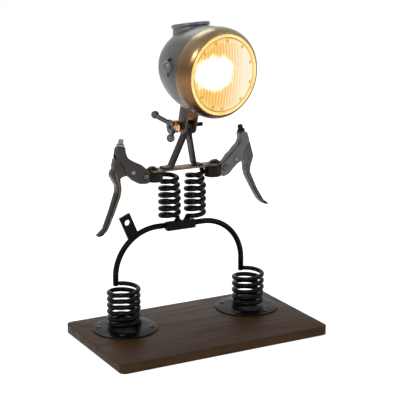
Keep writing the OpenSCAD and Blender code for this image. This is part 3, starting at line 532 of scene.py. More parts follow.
def torso_spring_line(side):
    """The middle line of a torso spring, whose uppermost turns draw in towards its tail."""
    start = 0 if side < 0 else 180
    end = start + 360 * torso_turns

    def point(a, z):
        r = torso_coil_r - top_coil_less * min(1, max(0, taper_turns - (end - a) / 360))
        x, y = polar(r, a)
        return (robot_x + side * torso_dx + x, torso_y + y, z)

    sweep = math.degrees(tail_bend_r / torso_coil_r)
    foot, head = hip_top - hip_socket, shoulder_z + bar_socket
    low, high = foot + torso_wire_d, head - torso_wire_d
    bends = [polar(1, 90 * k / 5) for k in range(1, 5)]
    line = [point(start, foot), point(start, low)]
    line += [point(start + sweep * (1 - c), low + tail_bend_r * s) for c, s in bends]
    steps = round(torso_turns * turn_steps)
    for i in range(steps + 1):
        line.append(point(start + sweep + (end - start - 2 * sweep) * i / steps,
                          low + tail_bend_r + (high - low - 2 * tail_bend_r) * i / steps))
    line += [point(end - sweep * (1 - c), high - tail_bend_r * s) for c, s in bends[::-1]]
    return line + [point(end, high), point(end, head)]


for side, word in sides.items():
    coil = wire(torso_spring_line(side), torso_wire_d / 2)
    paired(word, "torso_spring", "blacked", coil, spring_black, "spring_steel", crease=60)

# ---- Shoulders ----
# A flat steel bar with round ends, its top worn to bare metal. Under each end a short round
# stub is held by a dome-headed bolt, and the clamp band of a brake lever goes round the stub.

bar_worn = finish("worn_bar", (112, 98, 76), (52, 42, 32), 0.36, 0.6, metallic=0.35, scale=85,
                  depth=0.00005, specular=0.2)
band_dark = finish("band_dark", (22, 15, 11), (6, 4, 3), 0.3, 0.5, scale=80, specular=0.12)
bolt_black = finish("bolt_black", (13, 12, 12), (4, 4, 4), 0.18, 0.3, scale=120, specular=0.2)
shoulder_y, shoulder_w, bar_t = 43, 19, 3
stub_dx, stub_r, stub_l = 47.6, 11.1, {-1: 14.4, 1: 17}
bolt_out, clamp_r = 3.5, 12.15
bar = plate(rectangle(2 * stub_dx + shoulder_w, shoulder_w), bar_t,
            corner_r=shoulder_w / 2 - 0.01, edge_r=0.5,
            place=at(robot_x, shoulder_y, shoulder_z + bar_t / 2))
piece("shoulder_bar_plate", bar, bar_worn, "bar_steel", "root", "shoulder_bar")

pivot_dx, pivot_z, lever_lean = 84.2, {-1: 242, 1: 244.3}, {-1: 7, 1: 0}


def at_lever(side):
    """A lever's own plane: X outwards from the robot, Y up, and the pivot pin at the origin."""
    mirror = Matrix.Scale(-1, 4, (1, 0, 0)) if side < 0 else Matrix()
    return (at(robot_x + side * pivot_dx, shoulder_y, pivot_z[side]) @ mirror
            @ turned_about("Y", lever_lean[side]) @ turned_about("X", 90))


clamp_hole, ear_past, ear_t = (-19.2, -10.6), 4.6, 6
dome = eased([(0, -12), (4, -12), (4, 0.05), (8.6, 0.05), (8.6, 0.6), (8, 1.6), (6.4, 3.1),
              (4.2, 4.5), (2, 5.3), (0, 5.5)], 0.7)
for side, word in sides.items():
    x, length = robot_x + side * stub_dx, stub_l[side]
    stub = turned(eased([(0, -length), (stub_r, -length), (stub_r, 0), (0, 0)], 1.2),
                  at(x, shoulder_y, shoulder_z), 48)
    paired(word, "shoulder_stub", "turned", stub, band_dark, "black_steel")
    low, high = -length + 0.6, -1.2
    band = turned([(stub_r + 0.05, low), (clamp_r - 0.3, low), (clamp_r, low + 0.3),
                   (clamp_r, high - 0.3), (clamp_r - 0.3, high), (stub_r + 0.05, high)],
                  at(x, shoulder_y, shoulder_z), 64, closed=True)
    screw = at_lever(side) @ (Vector((*clamp_hole, 0)) * MM) / MM
    near, far, low, high = clamp_r - 1.2, side * (screw.x - x) + ear_past, -5, 4.5
    ear = plate([(near, low), (far, low), (far, high), (near, high)], ear_t, corner_r=1.5,
                edge_r=0.5, place=at(x, shoulder_y, screw.z)
                @ turned_about("Z", 180 if side < 0 else 0) @ turned_about("X", 90))
    paired(word, "clamp_band", "steel", joined(band, ear), band_dark, "black_steel")
    bolt = turned(dome, at(x + side * bolt_out, shoulder_y, shoulder_z + bar_t), 48)
    paired(word, "shoulder_bolt", "domed", bolt, bolt_black, "dark_steel")

# ---- Brake levers ----
# Each lever is a cast alloy housing clamped to its stub, with a barrel for the cable at its
# upper end and a slot in which the forged blade turns on a pin. The left one is the darker.

pin_head_r, bolt_head_r = 3.3, 4.3


def distance(tree, spot, centre, axes=(1, 1, 1)):
    """How far a place is from centre, each axis stretched by its share of axes."""
    gone = add(tree, "VectorMath", {0: spot, 1: centre}, operation="SUBTRACT").outputs[0]
    gone = add(tree, "VectorMath", {0: gone, 1: axes}, operation="MULTIPLY").outputs[0]
    return add(tree, "VectorMath", {0: gone}, operation="LENGTH").outputs["Value"]


def lever_finish(name, light, dark, side):
    """A cast housing's satin finish, with painted shade in a dark ring round its pin and clamp
    bolt.
    """
    made = material, tree, shader, spot = bare_material(name)
    colour = weathered(made, light, dark, 0.27, 0.38, scale=55.0, amount=0.5, depth=0.00002,
                       metallic=0.55, specular=0.2)
    for place, r in [((0, 0), pin_head_r), (clamp_hole, bolt_head_r)]:
        gone = distance(tree, spot, at_lever(side) @ (Vector((*place, 0)) * MM), (1, 0, 1))
        # Painted shade: a dark ring round each head.
        ring = remap(tree, gone, (r + 0.3) * MM, (r + 1.3) * MM, 0.85, 0)
        colour = blended(tree, ring, colour, (16, 14, 13))
    feed(tree, shader, {"Base Color": colour})
    return material


lever_metal = {-1: lever_finish("lever_gunmetal", (58, 54, 54), (42, 39, 39), -1),
               1: lever_finish("lever_satin_grey", (92, 90, 93), (74, 72, 75), 1)}


def blade_finish(name, upper, lower, low_z, high_z):
    """A forged blade's finish: grey above, and brown and dark towards its lower end."""
    made = material, tree, shader, spot = bare_material(name)
    z = add(tree, "SeparateXYZ", {0: spot}).outputs["Z"]
    share = remap(tree, z, low_z * MM, high_z * MM)
    light, dark = [blended(tree, share, below, above) for below, above in zip(lower, upper)]
    weathered(made, light, dark, 0.26, 0.42, scale=70.0, amount=0.9, metallic=0.5, specular=0.2)
    return material


blade_metal = {
    -1: blade_finish("blade_dark_darker_below", ((62, 58, 56), (46, 43, 41)), ((20, 15, 12), (8, 6, 5)),
                     210, 226),
    1: blade_finish("blade_grey_darker_below", ((80, 78, 79), (62, 60, 61)), ((40, 36, 33), (16, 14, 13)),
                    195, 235),
}
bright = finish("bright_steel", (150, 150, 152), (92, 91, 90), 0.2, 0.36, metallic=0.85, scale=150)
pin_steel = finish("pin_steel", (122, 120, 120), (88, 86, 85), 0.24, 0.4, metallic=0.7, scale=150)
dark_bolt = finish("dark_bolt", (84, 81, 79), (54, 51, 49), 0.26, 0.4, metallic=0.6, scale=150)
adjuster_dark = finish("adjuster_dark", (34, 34, 36), (16, 16, 17), 0.24, 0.4, metallic=0.5,
                       scale=150, specular=0.2)
housing_face = {
    -1: [(5, 21), (7.3, 31), (6.9, 40), (17.4, 40), (20.4, 31), (22.3, 24.6), (18.3, 21),
         (14, 13.5), (10.6, -2), (5, -5.5), (-1, -14), (-7.5, -18.5), (-19, -21), (-24, -20),
         (-26, -5), (-21, 1), (-14.5, 8.3), (-5, 14.5)],
    1: [(7, 24), (8.6, 31), (7.4, 40), (17.8, 40), (20.8, 31), (22.3, 24.6), (18.3, 21),
        (14, 13.5), (10.6, -2), (1, -7), (-7.5, -15), (-12.5, -20.5), (-21.6, -23.5), (-26, -22),
        (-26, -7), (-20.5, -3), (-9, 7.8), (-2, 16)],
}
housing_core = [(-10.8, -17), (-9.6, -17), (-9.6, 4), (-4, 9.5), (8, 17), (17, 27), (12, 31),
                (7.5, 30), (2.6, 20), (-4, 14), (-13, 8), (-19.6, -0.5), (-24.5, -5.2),
                (-10.8, -5.2)]
housing_half_t, cheek_in = 7, 4.3
# Each row is a section of the barrel's foot: its height, its two edges, half its width, its round.
neck_sections = [(21, 5.4, 17.4, 6.6, 5.2), (31, 7.4, 20.6, 6.8, 5.6), (39.6, 7, 17.7, 6.4, 5.3),
                 (40.2, 7.6, 17.1, 5.8, 4.7)]
rim_line = {
    -1: [(8.6, 38), (8.8, 31), (6.4, 21.6), (-3.6, 13), (-13, 6.6), (-19.6, -0.6), (-23.4, -6.4)],
    1: [(9.2, 38), (10.2, 31), (8.4, 23), (-0.4, 14.4), (-7.6, 6.2), (-18.6, -4.8), (-23.6, -9)],
}
rim_w, rim_t = {-1: 2.2, 1: 3.0}, 7.2
barrel_foot, barrel_lean, barrel_l = (15.6, 24), 14, 16.5


def round_box(half_x, half_y, r, steps=5):
    """The points of a rectangle with round corners, in millimetres."""
    ring = []
    for quarter, (sx, sy) in enumerate([(1, 1), (-1, 1), (-1, -1), (1, -1)]):
        for k in range(steps + 1):
            x, y = polar(r, 90 * quarter + 90 * k / steps)
            ring.append((sx * (half_x - r) + x, sy * (half_y - r) + y))
    return ring


def lofted(rings, ends=True):
    """Rings of equal count, in metres, bridged in order and closed at both ends."""
    bm = bmesh.new()
    loops = []
    for ring in rings:
        verts = [bm.verts.new(p) for p in ring]
        loops.append([bm.edges.new(pair) for pair in zip(verts, verts[1:] + verts[:1])])
    for a, b in zip(loops, loops[1:]):
        bmesh.ops.bridge_loops(bm, edges=a + b)
    if ends:
        bmesh.ops.contextual_create(bm, geom=loops[0])
        bmesh.ops.contextual_create(bm, geom=loops[-1])
    return bm


def smooth_line(points, steps=6):
    """A Catmull-Rom line through points."""
    points = [Vector(p).to_3d() for p in points]
    ends = [2 * points[0] - points[1]] + points + [2 * points[-1] - points[-2]]
    line = []
    for a, b, c, d in zip(ends, ends[1:], ends[2:], ends[3:]):
        for k in range(steps):
            t = k / steps
            line.append(0.5 * (2 * b + (c - a) * t + (2 * a - 5 * b + 4 * c - d) * t ** 2
                               + (3 * b - a - 3 * c + d) * t ** 3))
    return line + [points[-1]]


def lever_housing(side):
    cheeks = [plate(housing_face[side], housing_half_t - cheek_in, corner_r=3, edge_r=2.2,
                    place=at(0, 0, up * (housing_half_t + cheek_in) / 2), segments=5, rims=up)
              for up in (-1, 1)]
    core = plate(housing_core, 2 * cheek_in + 0.2)
    sections = []
    for y, x0, x1, half, r in neck_sections:
        place = at((x0 + x1) / 2, y, 0) @ turned_about("X", -90)
        sections.append([place @ (Vector((*p, 0)) * MM)
                         for p in round_box((x1 - x0) / 2, half, r)])
    upright = Vector((0, 0, 1))
    frames = []
    for here in along_path([p * MM for p in smooth_line(rim_line[side], 5)]):
        ahead = here.to_3x3().col[2]
        frames.append(frame_of(upright.cross(ahead), upright, ahead, here.translation))
    rim = swept(frames, ring=round_box(rim_w[side], rim_t, rim_w[side] - 0.1, 6))
    return moved(joined(*cheeks, core, lofted(sections), rim), at_lever(side))


blade_face = {
    -1: [(23, 25.2), (26.8, 16), (27.8, 13), (27, 11), (30, 8.6), (32.6, 4), (32.8, 0.5),
         (26.8, -15), (27.6, -23), (40, -48), (53.8, -73), (63, -79), (65.6, -80.3), (58, -79.5),
         (48.5, -71.5), (35.2, -50), (24, -30), (20.8, -20.5), (20.8, -10.5), (20.5, -4.5),
         (18, -2.8), (11.2, -2.3), (14.6, 13.3), (18.9, 20.8)],
    1: [(23, 25), (29.5, 2), (24.5, -12.5), (24, -21.5), (36, -47.5), (48, -67), (56, -72.7),
        (55.5, -75), (48, -73), (41.5, -66.5), (30, -47.5), (19.5, -27.5), (17, -19),
        (16.5, -10), (14.5, -3.2), (11.2, -2.3), (14.6, 13.3), (18.9, 20.8)],
}
blade_rib = {
    -1: [(25, 12), (25.6, 0), (23.6, -14), (24.8, -25), (37.6, -49), (50.8, -72), (57, -77.4)],
    1: [(21.6, 10), (22, 0), (20.4, -14), (21.2, -23.5), (33, -47.5), (44.6, -66.8), (51, -72.4)],
}
# The ribs are lighter than the blade, a painted highlight along its length.
rib_painted_highlight = finish("blade_rib_painted_highlight", (112, 96, 80), (62, 52, 44), 0.24, 0.4, metallic=0.6,
                    scale=120, specular=0.2)
blade_t, tongue_t, rib_r = 12.4, 8, 1.25
blade_tongue = [(-3, 7.4), (15.5, 13.5), (11.8, -2.3), (4, -6.9)]


def lever_blade(side):
    """A lever's blade and the two ribs along it, which carry a painted highlight."""
    body = plate(blade_face[side], blade_t, corner_r=1.2, edge_r=1.5, segments=4)
    tongue = plate(blade_tongue, tongue_t, edge_r=0.4)
    knuckle = turned([(0, -4), (7.6, -4), (8, -3.6), (8, 3.6), (7.6, 4), (0, 4)], steps=48)
    ribs = []
    for up in (-1, 1):
        height = Vector((0, 0, up * (blade_t / 2 - 0.5)))
        frames = along_path([(p + height) * MM for p in smooth_line(blade_rib[side])])
        for i, here in enumerate(frames):
            share = min(1, i / 5, (len(frames) - 1 - i) / 5)
            frames[i] = here @ Matrix.Scale(0.25 + 0.75 * share, 4)
        ribs.append(swept(frames, segments=10, radius=rib_r))
    place = at_lever(side)
    return moved(joined(body, tongue, knuckle), place), moved(joined(*ribs), place)


barrel = at(*barrel_foot, 0) @ turned_about("Z", barrel_lean) @ turned_about("X", -90)
pin_profile = eased([(0, -8), (pin_head_r, -8), (pin_head_r, -7), (2.5, -7), (2.5, 7),
                     (pin_head_r, 7), (pin_head_r, 7.5), (2.2, 8), (0, 8)], 0.3)
bolt_profile = eased([(0, -13), (2.5, -13), (2.5, 7), (bolt_head_r, 7), (bolt_head_r, 7.9),
                      (3.4, 8.9), (0, 9.2)], 0.8)
nut_profile = eased([(0, -11.2), (4.4, -11.2), (4.4, -7), (0, -7)], 0.5)
screw_body = [(1.3, -8), (2.5, -8), (2.5, 3.6), (3.6, 3.7), (4, 4.1), (4, 5.2), (3.6, 5.6),
              (4, 6), (4, 7), (3.6, 7.4), (4, 7.8), (4, 9), (2.8, 10.6), (1.3, 10.6)]
knurled = [(2.55, 0.2), (5.5, 0.2), (5.9, 0.6), (5.9, 3.1), (5.5, 3.5), (2.55, 3.5)]
for side, word in sides.items():
    body, pin = word + "_blade", at_lever(side)
    paired(word, "lever_housing", "cast", lever_housing(side), lever_metal[side],
           "lever_dark" if side < 0 else "lever_light")
    blade, ribs = lever_blade(side)
    paired(word, "lever_blade", "forged", blade, blade_metal[side], "blade_metal", body)
    piece("lever_blade_" + word + "_ribs", ribs, rib_painted_highlight, "blade_metal", body)
    paired(word, "lever_pin", "riveted", turned(pin_profile, pin, 32), pin_steel, "bright_steel")
    bolt = turned(bolt_profile, pin @ at(*clamp_hole, 0), 32)
    nut = turned(nut_profile, pin @ at(*clamp_hole, 0), 6)
    paired(word, "clamp_bolt", "headed", joined(bolt, nut), dark_bolt, "dark_steel")
    top = pin @ barrel @ at(0, 0, barrel_l)
    steel = bright if side < 0 else adjuster_dark
    for kind, look, profile in [("cable_adjuster", "turned", screw_body),
                                ("adjuster_locknut", "round", knurled)]:
        paired(word, kind, look, turned(profile, top, 40, closed=True), steel, "bright_steel")

# ---- Neck ----
# Two straps of flat steel, bent at the foot and at the crook. Their round upper ends stand on
# one stud, kept apart by spacers and drawn up by a washer, a locknut and a round brass nut.

strap_steel = finish("strap_steel", (36, 26, 24), (15, 10, 10), 0.32, 0.48, metallic=0.2, scale=60,
                     specular=0.15)
stud_black = finish("stud_black", (26, 25, 25), (14, 13, 13), 0.3, 0.45, scale=150, specular=0.2)
nut_dark = finish("nut_dark", (56, 48, 42), (26, 22, 20), 0.3, 0.5, metallic=0.5, scale=150,
                  specular=0.2)
brass = finish("brass_copper", (255, 206, 150), (150, 88, 46), 0.14, 0.3, metallic=1.0, scale=130)
neck_x, stud_y, stud_z, stud_r = 5.2, 37, 302.5, 3
fork_w, cheek_t, strap_w, strap_t, strap_y = 18.7, 2.5, 16, 3.2, 40
fork_x = {-1: neck_x - fork_w / 2, 1: neck_x + fork_w / 2}
bar_top = shoulder_z + bar_t
side_gap, straps_apart, strap_bend_r = 0.1, 7.9, 5
strap_x = {-1: fork_x[-1] + cheek_t + side_gap + strap_t / 2}
strap_x[1] = strap_x[-1] + straps_apart
strap_toe, strap_knee = {-1: -34.5, 1: 28}, {-1: -21, 1: 16.9}
strap_crook = {-1: 289.5, 1: 287.5}


def rounded_corner(a, p, b, r, steps=6):
    """The points of a bend of radius r that rounds the corner p between a and b, in XZ."""
    a, p, b = Vector(a), Vector(p), Vector(b)
    into, out_of = (p - a).normalized(), (b - p).normalized()
    half = math.acos(max(-1, min(1, into.dot(out_of)))) / 2
    start, end = p - into * r * math.tan(half), p + out_of * r * math.tan(half)
    middle = p + (out_of - into).normalized() * r / math.cos(half)
    points = []
    for k in range(steps + 1):
        ray = (start - middle).lerp(end - middle, k / steps).normalized() * r
        points.append(middle + ray)
    return points


def neck_strap(side):
    """A strap drawn up its bends, narrowing to a round end over the stud."""
    foot_z = bar_top + strap_t / 2
    toe, knee = (strap_toe[side], foot_z), (strap_knee[side], foot_z)
    crook, top = (strap_x[side], strap_crook[side]), (strap_x[side], stud_z)
    line = [Vector(toe)] + rounded_corner(toe, knee, crook, strap_bend_r)
    line += rounded_corner(knee, crook, top, strap_bend_r) + [Vector(top)]
    head_r = strap_w / 2
    line += [Vector((top[0], stud_z + polar(head_r, a)[1])) for a in range(10, 90, 8)]
    frames = []
    for i, p in enumerate(line):
        before = line[max(i, 1)] - line[max(i, 1) - 1]
        after = line[min(i + 1, len(line) - 1)] - line[min(i, len(line) - 2)]
        ahead = (before.normalized() + after.normalized()).normalized()
        ahead, along = Vector((ahead.x, 0, ahead.y)), Vector((0, 1, 0))
        share = (p.y - bar_top) / (stud_z - bar_top)
        y = strap_y + (stud_y - strap_y) * min(1, max(0, share))
        width = math.sqrt(max(0.01, 1 - (max(0, p.y - stud_z) / head_r) ** 2))
        here = frame_of(along.cross(ahead), along, ahead, Vector((p.x, y, p.y)) * MM)
        frames.append(here @ Matrix.Diagonal((1, width, 1, 1)))
    return swept(frames, ring=round_box(strap_t / 2, strap_w / 2, 0.7, 3))


for side, word in sides.items():
    paired(word, "neck_strap", "bent", neck_strap(side), strap_steel, "strap_steel", crease=40)


def on_stud(x):
    """A place on the stud's axis, with Z along +X."""
    return at(x, stud_y, stud_z) @ turned_about("Y", 90)


bore_r = 3.05
spacers = []
for start, end in [(strap_x[-1] + strap_t / 2, strap_x[1] - strap_t / 2),
                   (strap_x[1] + strap_t / 2, fork_x[1] - cheek_t - side_gap)]:
    width = end - start
    profile = [(bore_r, 0), (6.7, 0), (7, 0.3), (7, width - 0.3), (6.7, width), (bore_r, width)]
    spacers.append(turned(profile, on_stud(start), 40, closed=True))
piece("neck_spacers_turned", joined(*spacers), nut_dark, "dark_steel", "root", "neck_spacers")

# The stud's two ends show its thread, as rings of a fine pitch.
stud_l, thread_l, pitch, thread_end, stud_left = 54.6, 9, 1.0, 0.5, -25
core_r = 2.55
profile = [(0, 0), (2.3, 0), (2.5, 0.4)]
for start in (thread_end, stud_l - thread_l - thread_end):
    for k in range(round(thread_l / pitch)):
        z = start + k * pitch
        profile += [(core_r, z), (stud_r, z + 0.35), (stud_r, z + 0.65)]
    profile.append((core_r, start + thread_l))
profile += [(2.3, stud_l), (0, stud_l)]
piece("neck_stud_threaded", turned(profile, on_stud(stud_left), 24), stud_black, "black_steel",
      "head", "neck_stud")

washer_t, lock_from, across_flats = 1.2, -9, 11
washer_x = fork_x[-1] - washer_t
washer = [(bore_r, 0), (5.7, 0), (6, 0.3), (6, 0.9), (5.7, washer_t), (bore_r, washer_t)]
piece("neck_washer_steel", turned(washer, on_stud(washer_x), 40, closed=True), nut_dark,
      "dark_steel", "head", "neck_washer")
lock_l = washer_x - lock_from
hexagon = [polar(across_flats / math.sqrt(3), 60 * k) for k in range(6)]
locknut = plate(hexagon, lock_l, edge_r=0.6, place=on_stud(lock_from + lock_l / 2),
                hole=(0, 0, bore_r))
piece("neck_locknut_hexagon", locknut, nut_dark, "dark_steel", "head", "neck_locknut")
nut_x = -18.4
brass_profile = [(bore_r, 0), (8.3, 0), (9.2, 0.5), (9.4, 1.1), (9.4, 2.2), (8.9, 2.6),
                 (9.4, 3.0), (9.4, 6), (9.0, 6.8), (7.4, 9.2), (7.0, 9.4), (bore_r, 9.4)]
piece("brass_nut_turned", turned(brass_profile, on_stud(nut_x), 64, closed=True), brass, "brass",
      "head", "brass_nut")

# ---- Wing nut ----
# A cast steel nut with a round flange and two arms, each ending in a ball, that a hand turns to
# set the headlamp's tilt. A brass bush is pressed into its back.

wing_steel = finish("wing_nut_steel", (80, 82, 85), (56, 58, 60), 0.3, 0.44, metallic=0.4,
                    scale=60, amount=0.8, specular=0.25)
hub_place = at(nut_x, stud_y, stud_z) @ turned_about("Y", -90)
hub = [(bore_r, 3.2), (10.6, 3.2), (11, 3.6), (11, 4.4), (10.5, 4.9), (bore_r, 5)]
bush = [(bore_r, 0.05), (9, 0.05), (9.4, 0.5), (9.4, 3.2), (bore_r, 3.2)]
parts = [turned(hub, hub_place, 64, closed=True)]
ball_x, ball_y, ball_r = -16.4, 27.5, 5.9
root_r, arm_r, flare_steps, arm_turns = 2.4, 3.5, 9, (33.5, 202.5)
arm_line = smooth_line([(-2.6, 5), (-4.6, 11), (-9, 16.6), (-13.4, 22), (ball_x, ball_y)], 8)
for turn in arm_turns:
    place = at(nut_x, stud_y, stud_z) @ turned_about("X", turn)
    frames = along_path([p * MM for p in arm_line])
    for i, here in enumerate(frames):
        frames[i] = here @ Matrix.Scale(root_r + (arm_r - root_r) * min(1, i / flare_steps), 4)
    ball = bmesh.new()
    bmesh.ops.create_uvsphere(ball, u_segments=32, v_segments=20, radius=ball_r * MM,
                              matrix=at(ball_x, ball_y, 0))
    parts += [moved(swept(frames, segments=24), place), moved(ball, place)]
piece("wing_nut_cast", joined(*parts), wing_steel, "dark_steel", "wing_nut", "wing_nut", crease=40)
piece("wing_nut_bush", turned(bush, hub_place, 64, closed=True), brass, "brass", "wing_nut")

# ---- Headlamp bowl and bezel ----
# A bowl spun from steel sheet and painted satin grey. A bezel of smoked nickel slides over its
# lip, and a rubber grommet lines the hole at its back.

lamp_x, lamp_y, lamp_z, lamp_yaw, lamp_nod = 16.2, -50.7, 385.4, 8.6, 3.75
bowl_r, bezel_l, bowl_end, seam_s, sheet_t = 62, 26, 122, 27.2, 1.5
in_lamp = (at(lamp_x, lamp_y, lamp_z) @ turned_about("Z", lamp_yaw)
           @ turned_about("X", lamp_nod - 90))
shell_paint = finish("shell_grey", (82, 81, 78), (66, 64, 60), 0.3, 0.42, metallic=0.3,
                     scale=30, amount=0.7, depth=0.00002, specular=0.3)
rubber = finish("rubber", (26, 26, 26), (16, 16, 16), 0.6, 0.75, scale=120)


def bowl_line(grow, steps=32):
    """The bowl's profile from its seam to its back, grown outwards."""
    rays = [polar(1, 90 * i / steps) for i in range(steps + 1)]
    return [((bowl_r + grow) * c, seam_s + (bowl_end + grow - seam_s) * s) for c, s in rays]


hole_r, lip_in, lip_l = 5.55, 1.3, 6
outer = [p for p in bowl_line(0) if p[0] > hole_r]
inner = [p for p in bowl_line(-sheet_t) if p[0] > hole_r]
lip_r, lip_end = bowl_r - lip_in, bezel_l - lip_l
lip = [(lip_r - sheet_t, seam_s + sheet_t), (lip_r - sheet_t, lip_end), (lip_r, lip_end),
       (lip_r, seam_s)]
bowl = turned(outer + [(hole_r, bowl_end - 0.4), (hole_r, bowl_end - 1.9)] + inner[::-1] + lip,
              in_lamp, 128, closed=True)
piece("headlamp_bowl", bowl, shell_paint, "shell_paint", "head", "headlamp_shell")
grommet = eased([(3.2, -9), (7, -9), (7, -6.8), (5.5, -6.4), (5.5, 0.3), (7.5, 0.3), (7.5, 2.6),
                 (6.4, 3.5), (3.2, 3.5)], 0.5)
piece("cable_grommet_moulded", turned(grommet, in_lamp @ at(0, 0, bowl_end), 48, closed=True),
      rubber, "rubber", "head", "cable_grommet")

# The bezel's colour follows its own height, a painted reflection and shade over the smoked
# nickel: olive above, brown at the sides and almost black below.
made = nickel_painted_reflection, tree, shader, spot = bare_material("smoked_nickel_painted_reflection")
height = add(tree, "SeparateXYZ", {0: spot}).outputs["Z"]
bezel_r = 64
level = remap(tree, height, (lamp_z - bezel_r) * MM, (lamp_z + bezel_r) * MM)
ramp = add(tree, "ValToRGB", {0: level})
painted_reflection_stops = [(0.0, (58, 42, 24)), (0.2, (104, 76, 44)), (0.45, (132, 100, 64)), (0.6, (104, 74, 46)),
         (0.78, (134, 112, 84)), (1.0, (128, 116, 88))]
stops = ramp.color_ramp.elements
stops.remove(stops[1])
for position, shade in painted_reflection_stops:
    stop = stops.new(position) if position else stops[0]
    stop.color = tone(shade)
weathered(made, ramp.outputs[0], (84, 60, 38), 0.24, 0.32, scale=34.0, amount=0.4,
          depth=0.000004, metallic=0.9)
bezel_outside = [(57.2, 0), (58.0, 0.3), (58.8, 1.4), (60.0, 3.0), (61, 4.5), (61.9, 6.6),
                 (62.6, 9), (63.0, 11.4), (63.3, 14), (63.4, 18), (63.2, 21), (63, 23),
                 (62.7, 25.2), (62.3, bezel_l + 1)]
bezel_inside = [(60.8, bezel_l + 1), (61.4, 23), (61.9, 18), (61.8, 14), (61.1, 9.4), (59.7, 5.4),
                (57.6, 3), (56.3, 2.2), (56.3, 0.6)]
piece("headlamp_bezel_rim", turned(bezel_outside + bezel_inside, in_lamp, 160, closed=True), nickel_painted_reflection,
      "bezel_chrome", "head", "headlamp_bezel")

# ---- Head fork ----
# Two steel cheeks that lean forwards, with a web between their front edges and a saddle bent to
# the bowl's underside. The cheeks stand outside the neck straps, on the same stud.

made = fork_steel, tree, shader, spot = bare_material("fork_steel")
# The fork is grey on the cheeks' outer faces and brown everywhere within them, a painted warm
# reflection.
across = add(tree, "SeparateXYZ", {0: spot}).outputs["X"]
across = maths(tree, "ABSOLUTE", maths(tree, "SUBTRACT", across, neck_x * MM))
inner_painted_reflection = remap(tree, across, (fork_w / 2 - 0.8) * MM, (fork_w / 2 - 0.1) * MM, 1, 0)
light = blended(tree, inner_painted_reflection, (78, 72, 65), (116, 74, 42))
dark = blended(tree, inner_painted_reflection, (58, 48, 40), (62, 38, 22))
weathered(made, light, dark, 0.3, 0.46, scale=40.0, amount=0.8, metallic=0.4, specular=0.2)
to_lamp = in_lamp.inverted()
clear = 0.05


def within_bowl(point, grow):
    """Whether a place is inside the bowl's surface, grown outwards."""
    local = to_lamp @ point / MM
    share = (local.z - seam_s) / (bowl_end - seam_s)
    if share >= 1:
        return False
    radius = bowl_r * math.sqrt(1 - max(0, share) ** 2) + grow
    return math.hypot(local.x, local.y) < radius


def reach_of_bowl(start, ahead, grow=clear, most=90):
    """How far in millimetres from start, going ahead, the bowl's surface is."""
    low, step = 0.0, 0.5
    while low < most and not within_bowl(start + ahead * (low + step) * MM, grow):
        low += step
    high = low + step
    for _ in range(14):
        middle = (low + high) / 2
        if within_bowl(start + ahead * middle * MM, grow):
            high = middle
        else:
            low = middle
    return low


def bowl_above(x, y, grow=clear):
    """The height of the bowl's underside over a place, in millimetres."""
    return stud_z + reach_of_bowl(Vector((x, y, stud_z)) * MM, Vector((0, 0, 1)), grow)


def fork_plate(x, outline, thick, edge_r):
    """A plate across X, its outline in Y and Z from the stud."""
    place = at(x, stud_y, stud_z) @ turned_about("Z", 90) @ turned_about("X", 90)
    return plate(outline, thick, edge_r=edge_r, place=place)


def tops_at(x, *ys):
    """The points of an outline that follow the bowl."""
    return [(y, bowl_above(x, stud_y + y) - stud_z) for y in ys]


cheek_r, fork_front, fork_back = 12.3, -18.8, 1
cheek_front = [(-10.4, -6.5), (-11.6, -2.2), (-14.2, 6.5), (-16.8, 15.2), (-18.6, 24.5), (-19, 30)]
cheek_back, cheek_tops_y = [(4.1, 28.9), (11.7, 4)], (-19.1, -14, -9, -4, 0.2)
low_arc = [polar(cheek_r, a) for a in range(12, -145, -8)]
cheeks = []
for side in sides:
    x = fork_x[side] - side * cheek_t / 2
    tops = tops_at(x, *cheek_tops_y)
    cheeks.append(fork_plate(x, low_arc + cheek_front + tops + cheek_back, cheek_t, 0.45))
web_low, web_bend, web_foot_y, web_y, web_top_y = 14, 28, -16.2, -18.2, -18.4
web_tops = tops_at(neck_x, web_top_y, web_top_y + cheek_t)
web = fork_plate(neck_x, [(web_foot_y + cheek_t, web_low), (web_foot_y, web_low), (web_y, web_bend)]
                 + web_tops + [(web_y + cheek_t, web_bend)], fork_w - 2 * cheek_t + 1, 0.4)
rows, columns, saddle_out = 14, 14, 2.6
rings = []
for i in range(rows + 1):
    y = stud_y + fork_front + (fork_back - fork_front) * i / rows
    xs = [fork_x[-1] + fork_w * j / columns for j in range(columns + 1)]
    rings.append([Vector((x, y, bowl_above(x, y))) * MM for x in xs]
                 + [Vector((x, y, bowl_above(x, y, saddle_out))) * MM for x in xs[::-1]])
piece("head_fork_bent", joined(*cheeks, web, lofted(rings)), fork_steel, "fork_steel", "head",
      "head_fork")

# ---- Side bosses and their screws ----
# A turned boss stands on each side of the bowl where a large headlamp is carried, with a small
# screw above and below it.

boss_s, boss_h, boss_out, boss_screw_pitch, screw_out = 48, 7.5, 63, 11.4, 61.5


def standing(profile, place, steps=64):
    """A turned shape that ends on the bowl. A profile point with no height lies on the bowl."""
    down = (place.to_3x3() @ Vector((0, 0, -1))).normalized()
    rings = []
    for r, z in profile:
        ring = [place @ (Vector((*polar(r, 360 * k / steps), z or 0)) * MM) for k in range(steps)]
        if z is None:
            ring = [p + down * reach_of_bowl(p, down, most=60) * MM for p in ring]
        rings.append(ring)
    return lofted(rings, ends=profile[0] != profile[-1])


